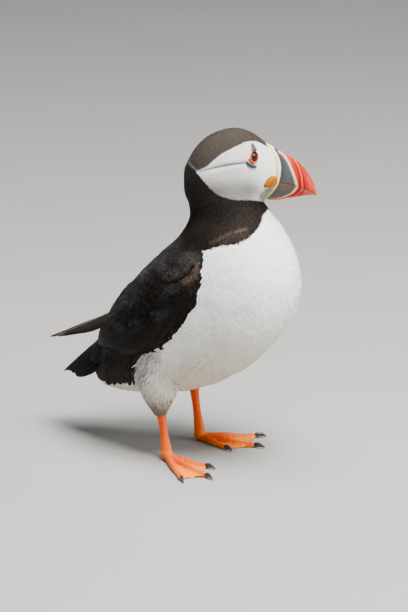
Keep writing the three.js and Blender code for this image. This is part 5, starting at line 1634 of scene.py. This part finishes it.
# ------------------------------------------------------------------ legs and feet
def leg_parts(L):
    parts_, centre = [], []
    ank, rt = np.array(L["ankle"], float), np.array(L["root"], float)
    axis = unit(rt - ank)
    wide = np.array([0, 1.0, 0]) - axis * axis[1]
    wide = unit(wide)
    deep = np.cross(axis, wide)
    q = np.radians(np.arange(0, 360, 10.0))
    rings = []
    for t in np.linspace(-0.12, 1, 60):
        r = 4.2 - 1.1 * math.sin(math.pi * min(1, max(t, 0) * 1.1))
        scute = 0.10 * (abs(((t * 17) % 1) - 0.5) * 2 - 0.5)
        rr_ = r + scute * np.clip(np.sin(q) * 1.4, 0, 1)
        # tendons make the back narrower than the front
        rings.append(ank + (rt - ank) * t + (np.cos(q) * rr_ * 0.68 * (1 - 0.12 * np.sin(-q)))[:, None] * wide + (np.sin(q) * rr_)[:, None] * deep)
    parts_.append(loft(np.array(rings)))
    at0 = np.array([rt[0], rt[1], 0.0])
    yaw = math.radians(L["yaw"])
    tips = []
    for deg_, ln in zip(L["toes"], L["len"]):
        a = yaw + math.radians(deg_)
        d_ = np.array([math.cos(a), math.sin(a), 0])
        sd_ = np.array([-d_[1], d_[0], 0])
        rings = []
        q = np.radians(np.arange(0, 360, 15.0))
        for t in np.linspace(0, 1, 64):
            knuckle = 1 + 0.12 * math.cos(t * math.pi * 4) + 0.03 * math.cos(t * math.pi * 6)
            r = (2.5 + (1.6 - 2.5) * t) * knuckle * (0.6 + 0.4 * float(ease(0, 0.08, t))) * (1 - 0.3 * float(ease(0.94, 1.0, t)))
            raised = 1.7 * max(0, 1 - t * 1.5)
            scute = 0.11 * (abs(((t * ln / 1.7) % 1) - 0.5) * 2 - 0.5)
            c = at0 + d_ * (-2.5 + (ln + 2.5) * t)
            z = r * 0.92 + raised * 0.5 + (r + raised * 0.5 + scute * np.clip(np.sin(q), 0, 1)) * np.sin(q)
            rings.append(np.stack([c[0] + sd_[0] * np.cos(q) * r * 1.05, c[1] + sd_[1] * np.cos(q) * r * 1.05, np.maximum(0, z)], -1))
        parts_.append(loft(np.array(rings)))
        tips.append((at0 + d_ * ln, d_))
    # web: an even fan with a bowed free edge, a little thicker by the toes
    dm = np.array([math.cos(yaw), math.sin(yaw), 0])
    heel = at0 - dm * 1.5
    edge = [p - d_ * 0.8 for p, d_ in tips]
    pts_ = [edge[0]]
    for a, b in ((0, 1), (1, 2)):
        m = (edge[a] + edge[b]) / 2
        c = at0 + (m - at0) * 0.93
        for s_ in np.linspace(0, 1, 15)[1:]:
            pts_.append((1 - s_) ** 2 * edge[a] + 2 * s_ * (1 - s_) * c + s_ ** 2 * edge[b])
    pts_ = np.array(pts_)
    rows_ = np.linspace(0.02, 1, 40)
    topz = []
    rings = []
    for s_ in rows_:
        line = heel + (pts_ - heel) * s_
        nn = len(line)
        x = np.linspace(0, 1, nn)
        fold = 0.20 * np.sin(x * 2 * np.pi * 7 + 3 * s_) * s_ + 0.10 * np.sin(x * 50 + s_ * 9)
        sag = 0.22 * np.cos(x * 4 * np.pi) - 0.12
        up_ = line.copy()
        up_[:, 2] = 1.25 + fold + sag
        lo_ = line[::-1].copy()
        lo_[:, 2] = 0.0
        rings.append(np.concatenate([up_, lo_]))
    parts_.append(loft(np.array(rings)))
    # swollen joint
    th = np.linspace(0.02, np.pi - 0.02, 24)
    ph = np.linspace(0, 2 * np.pi, 32, endpoint=False)
    rings = np.array([np.stack([rt[0] + 0.4 + 4.7 * np.sin(t) * np.cos(ph), rt[1] + 4.2 * np.sin(t) * np.sin(ph), 4.4 + 4.4 * np.cos(t) + 0 * ph], -1) for t in th])
    parts_.append(loft(rings))
    return parts_, tips


LEG_UP = np.array([0.78, 0.085, 0.0])
LEG_OR = np.array([0.92, 0.150, 0.0])
LEG_YL = np.array([0.93, 0.260, 0.008])
for sd in (-1, 1):
    L = LEGS[sd]
    nm = SIDE_NAME[sd]
    parts_, tips = leg_parts(L)
    v, q4 = remeshed("leg_form_" + nm, parts_, 0.52)
    lg = Skin(v, q4)
    floor_ = lg.v[:, 2] < 0.35
    for _ in range(3):
        nv = lg.spread(lg.v, 1, 0.5)
        nv[:, 2] = np.where(floor_, lg.v[:, 2], nv[:, 2])
        lg.v = nv
    lg.v[:, 2] = np.maximum(lg.v[:, 2], 0.0)
    lg.v[:, 2] = np.where(lg.v[:, 2] < 0.30, 0.0, lg.v[:, 2])
    lg.refresh()
    z = lg.v[:, 2]
    rt = np.array(L["root"])
    dist = np.hypot(lg.v[:, 0] - rt[0], lg.v[:, 1] - rt[1])
    # darker and redder up the shank towards the body: painted shade under the body
    up_ = ease(8, 26, z)[:, None]
    col = LEG_OR[None] * (1 - up_) + LEG_UP[None] * up_
    # webs yellower than the toes, joints and toe tips redder, painted shade in the folds
    web_ = (ease(2.1, 1.45, z) * ease(6, 14, dist))[:, None]
    toe_ = (ease(1.9, 2.6, z) * ease(4, 10, dist))[:, None]
    col = col * (1 - 0.9 * web_) + 0.9 * web_ * LEG_YL
    col = col * (1 - 0.55 * toe_) + 0.55 * toe_ * np.array([0.74, 0.080, 0.0])
    mott = 0.08 * np.sin(lg.v[:, 0] * 1.3 + 2 * np.sin(lg.v[:, 1] * 0.9)) + 0.06 * np.sin(lg.v[:, 1] * 2.7 + lg.v[:, 2] * 1.9)
    col = col * (1 + mott[:, None])
    cav = np.einsum("ij,ij->i", lg.spread(lg.v, 3) - lg.v, lg.n)
    painted_fold_shade = np.clip(cav * 9, 0, 1)[:, None]
    col = col * (1 - 0.60 * painted_fold_shade) + 0.60 * painted_fold_shade * np.array([0.34, 0.05, 0.006])
    ob = make("leg_" + nm, lg.v, lg.q, M_LEG, col)
    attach(ob, "root")
    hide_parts("shank_" + nm, "foot_" + nm)
    print("leg", nm, len(lg.q), "quads")
    for (p0, d_), which in zip(tips, ("inner", "middle", "outer")):
        sd_ = np.array([-d_[1], d_[0], 0])
        q = np.radians(np.arange(0, 360, 18.0))
        rings = []
        for t in np.linspace(0, 1, 24):
            r = 1.45 * (1 - t ** 2.2) ** 0.75 + 0.12
            high = 1.6 + 1.1 * math.sin(t * math.pi * 0.85) - 1.45 * t * t
            c = p0 + d_ * (-1.0 + (7.6 + 1.0) * t)
            z = np.maximum(0.02, high + r * 1.15 * np.sin(q))
            rings.append(np.stack([c[0] + sd_[0] * np.cos(q) * r * 0.85, c[1] + sd_[1] * np.cos(q) * r * 0.85, z], -1))
        v, f_ = loft(np.array(rings))
        tcol = np.repeat(np.array([[0.030, 0.025, 0.023]]), len(v), 0)
        ob = make("claw_horn_%s_%s" % (nm, which), v, f_, M_CLAW, tcol)
        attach(ob, "root")
        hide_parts("claw_%s_%s" % (nm, which))

# ------------------------------------------------------------------ floor, light, camera
fl = bpy.data.meshes.new("floor")
fl.from_pydata([(-6, -6, 0), (6, -6, 0), (6, 6, 0), (-6, 6, 0)], [], [(0, 1, 2, 3)])
floor = bpy.data.objects.new("floor", fl)
bpy.context.scene.collection.objects.link(floor)
floor.location.z = -0.0003
M_FLOOR = material("floor_paint", 0.8, 0.2, var=0.015, scale=8, bump=0.02, bump_scale=200, base=(0.36, 0.355, 0.34))
fl.materials.append(M_FLOOR)

world = bpy.data.worlds.new("studio")
bpy.context.scene.world = world
world.use_nodes = True
world.node_tree.nodes["Background"].inputs[0].default_value = (0.93, 0.96, 1.0, 1)
world.node_tree.nodes["Background"].inputs[1].default_value = 0.20


def lamp(name, loc, target, size_, power, colour=(1, 1, 1)):
    l = bpy.data.lights.new(name, "AREA")
    l.shape = "DISK"
    l.size = size_
    l.energy = power
    l.color = colour
    o = bpy.data.objects.new(name, l)
    bpy.context.scene.collection.objects.link(o)
    o.location = loc
    o.rotation_euler = (Vector(target) - Vector(loc)).to_track_quat("-Z", "Y").to_euler()
    return o


AZ, EL, DIST = math.radians(33), math.radians(16), 3.0
R_AX = np.array([math.cos(AZ), math.sin(AZ), 0])
U_AX = np.array([-math.sin(AZ) * math.sin(EL), math.cos(AZ) * math.sin(EL), math.cos(EL)])
B_AX = np.array([math.sin(AZ) * math.cos(EL), -math.cos(AZ) * math.cos(EL), math.sin(EL)])
ANCHOR = np.array([-1.5, -26.0, 31.0]) + SHIFT
TARGET = (ANCHOR + R_AX * (204 - 163.0) * 0.70 + U_AX * (416.0 - 306) * 0.70) / 1000.0
mid3 = np.array([0.01, 0.0, 0.13])
lamp("key", tuple(mid3 + 1.3 * (0.95 * UPZ + 0.42 * B_AX + 0.30 * R_AX)), tuple(mid3), 0.8, 70.0, (1.0, 0.985, 0.96))
lamp("top", tuple(mid3 + np.array([0, 0, 1.6])), tuple(mid3), 1.0, 30.0, (0.97, 0.985, 1.0))
lamp("fill", tuple(mid3 + 1.5 * (0.10 * UPZ + 0.75 * B_AX + 0.85 * R_AX)), tuple(mid3), 1.3, 9.0, (1.0, 0.99, 0.97))

lamp("front", tuple(mid3 + 1.4 * (0.22 * UPZ + 0.25 * B_AX + 0.95 * R_AX)), (0.03, 0.0, 0.05), 0.7, 10.0, (1.0, 0.99, 0.97))

cam = bpy.data.cameras.new("camera")
cam.lens = 36.0 * (DIST * 1000 / 0.70) / 612.0
cam.sensor_width = 36.0
cam.sensor_fit = "AUTO"
cam.clip_start = 0.1
cam.clip_end = 50.0
co = bpy.data.objects.new("camera", cam)
bpy.context.scene.collection.objects.link(co)
co.location = tuple(TARGET + B_AX * DIST)
co.rotation_euler = Vector(tuple(-B_AX)).to_track_quat("-Z", "Y").to_euler()
bpy.context.scene.camera = co
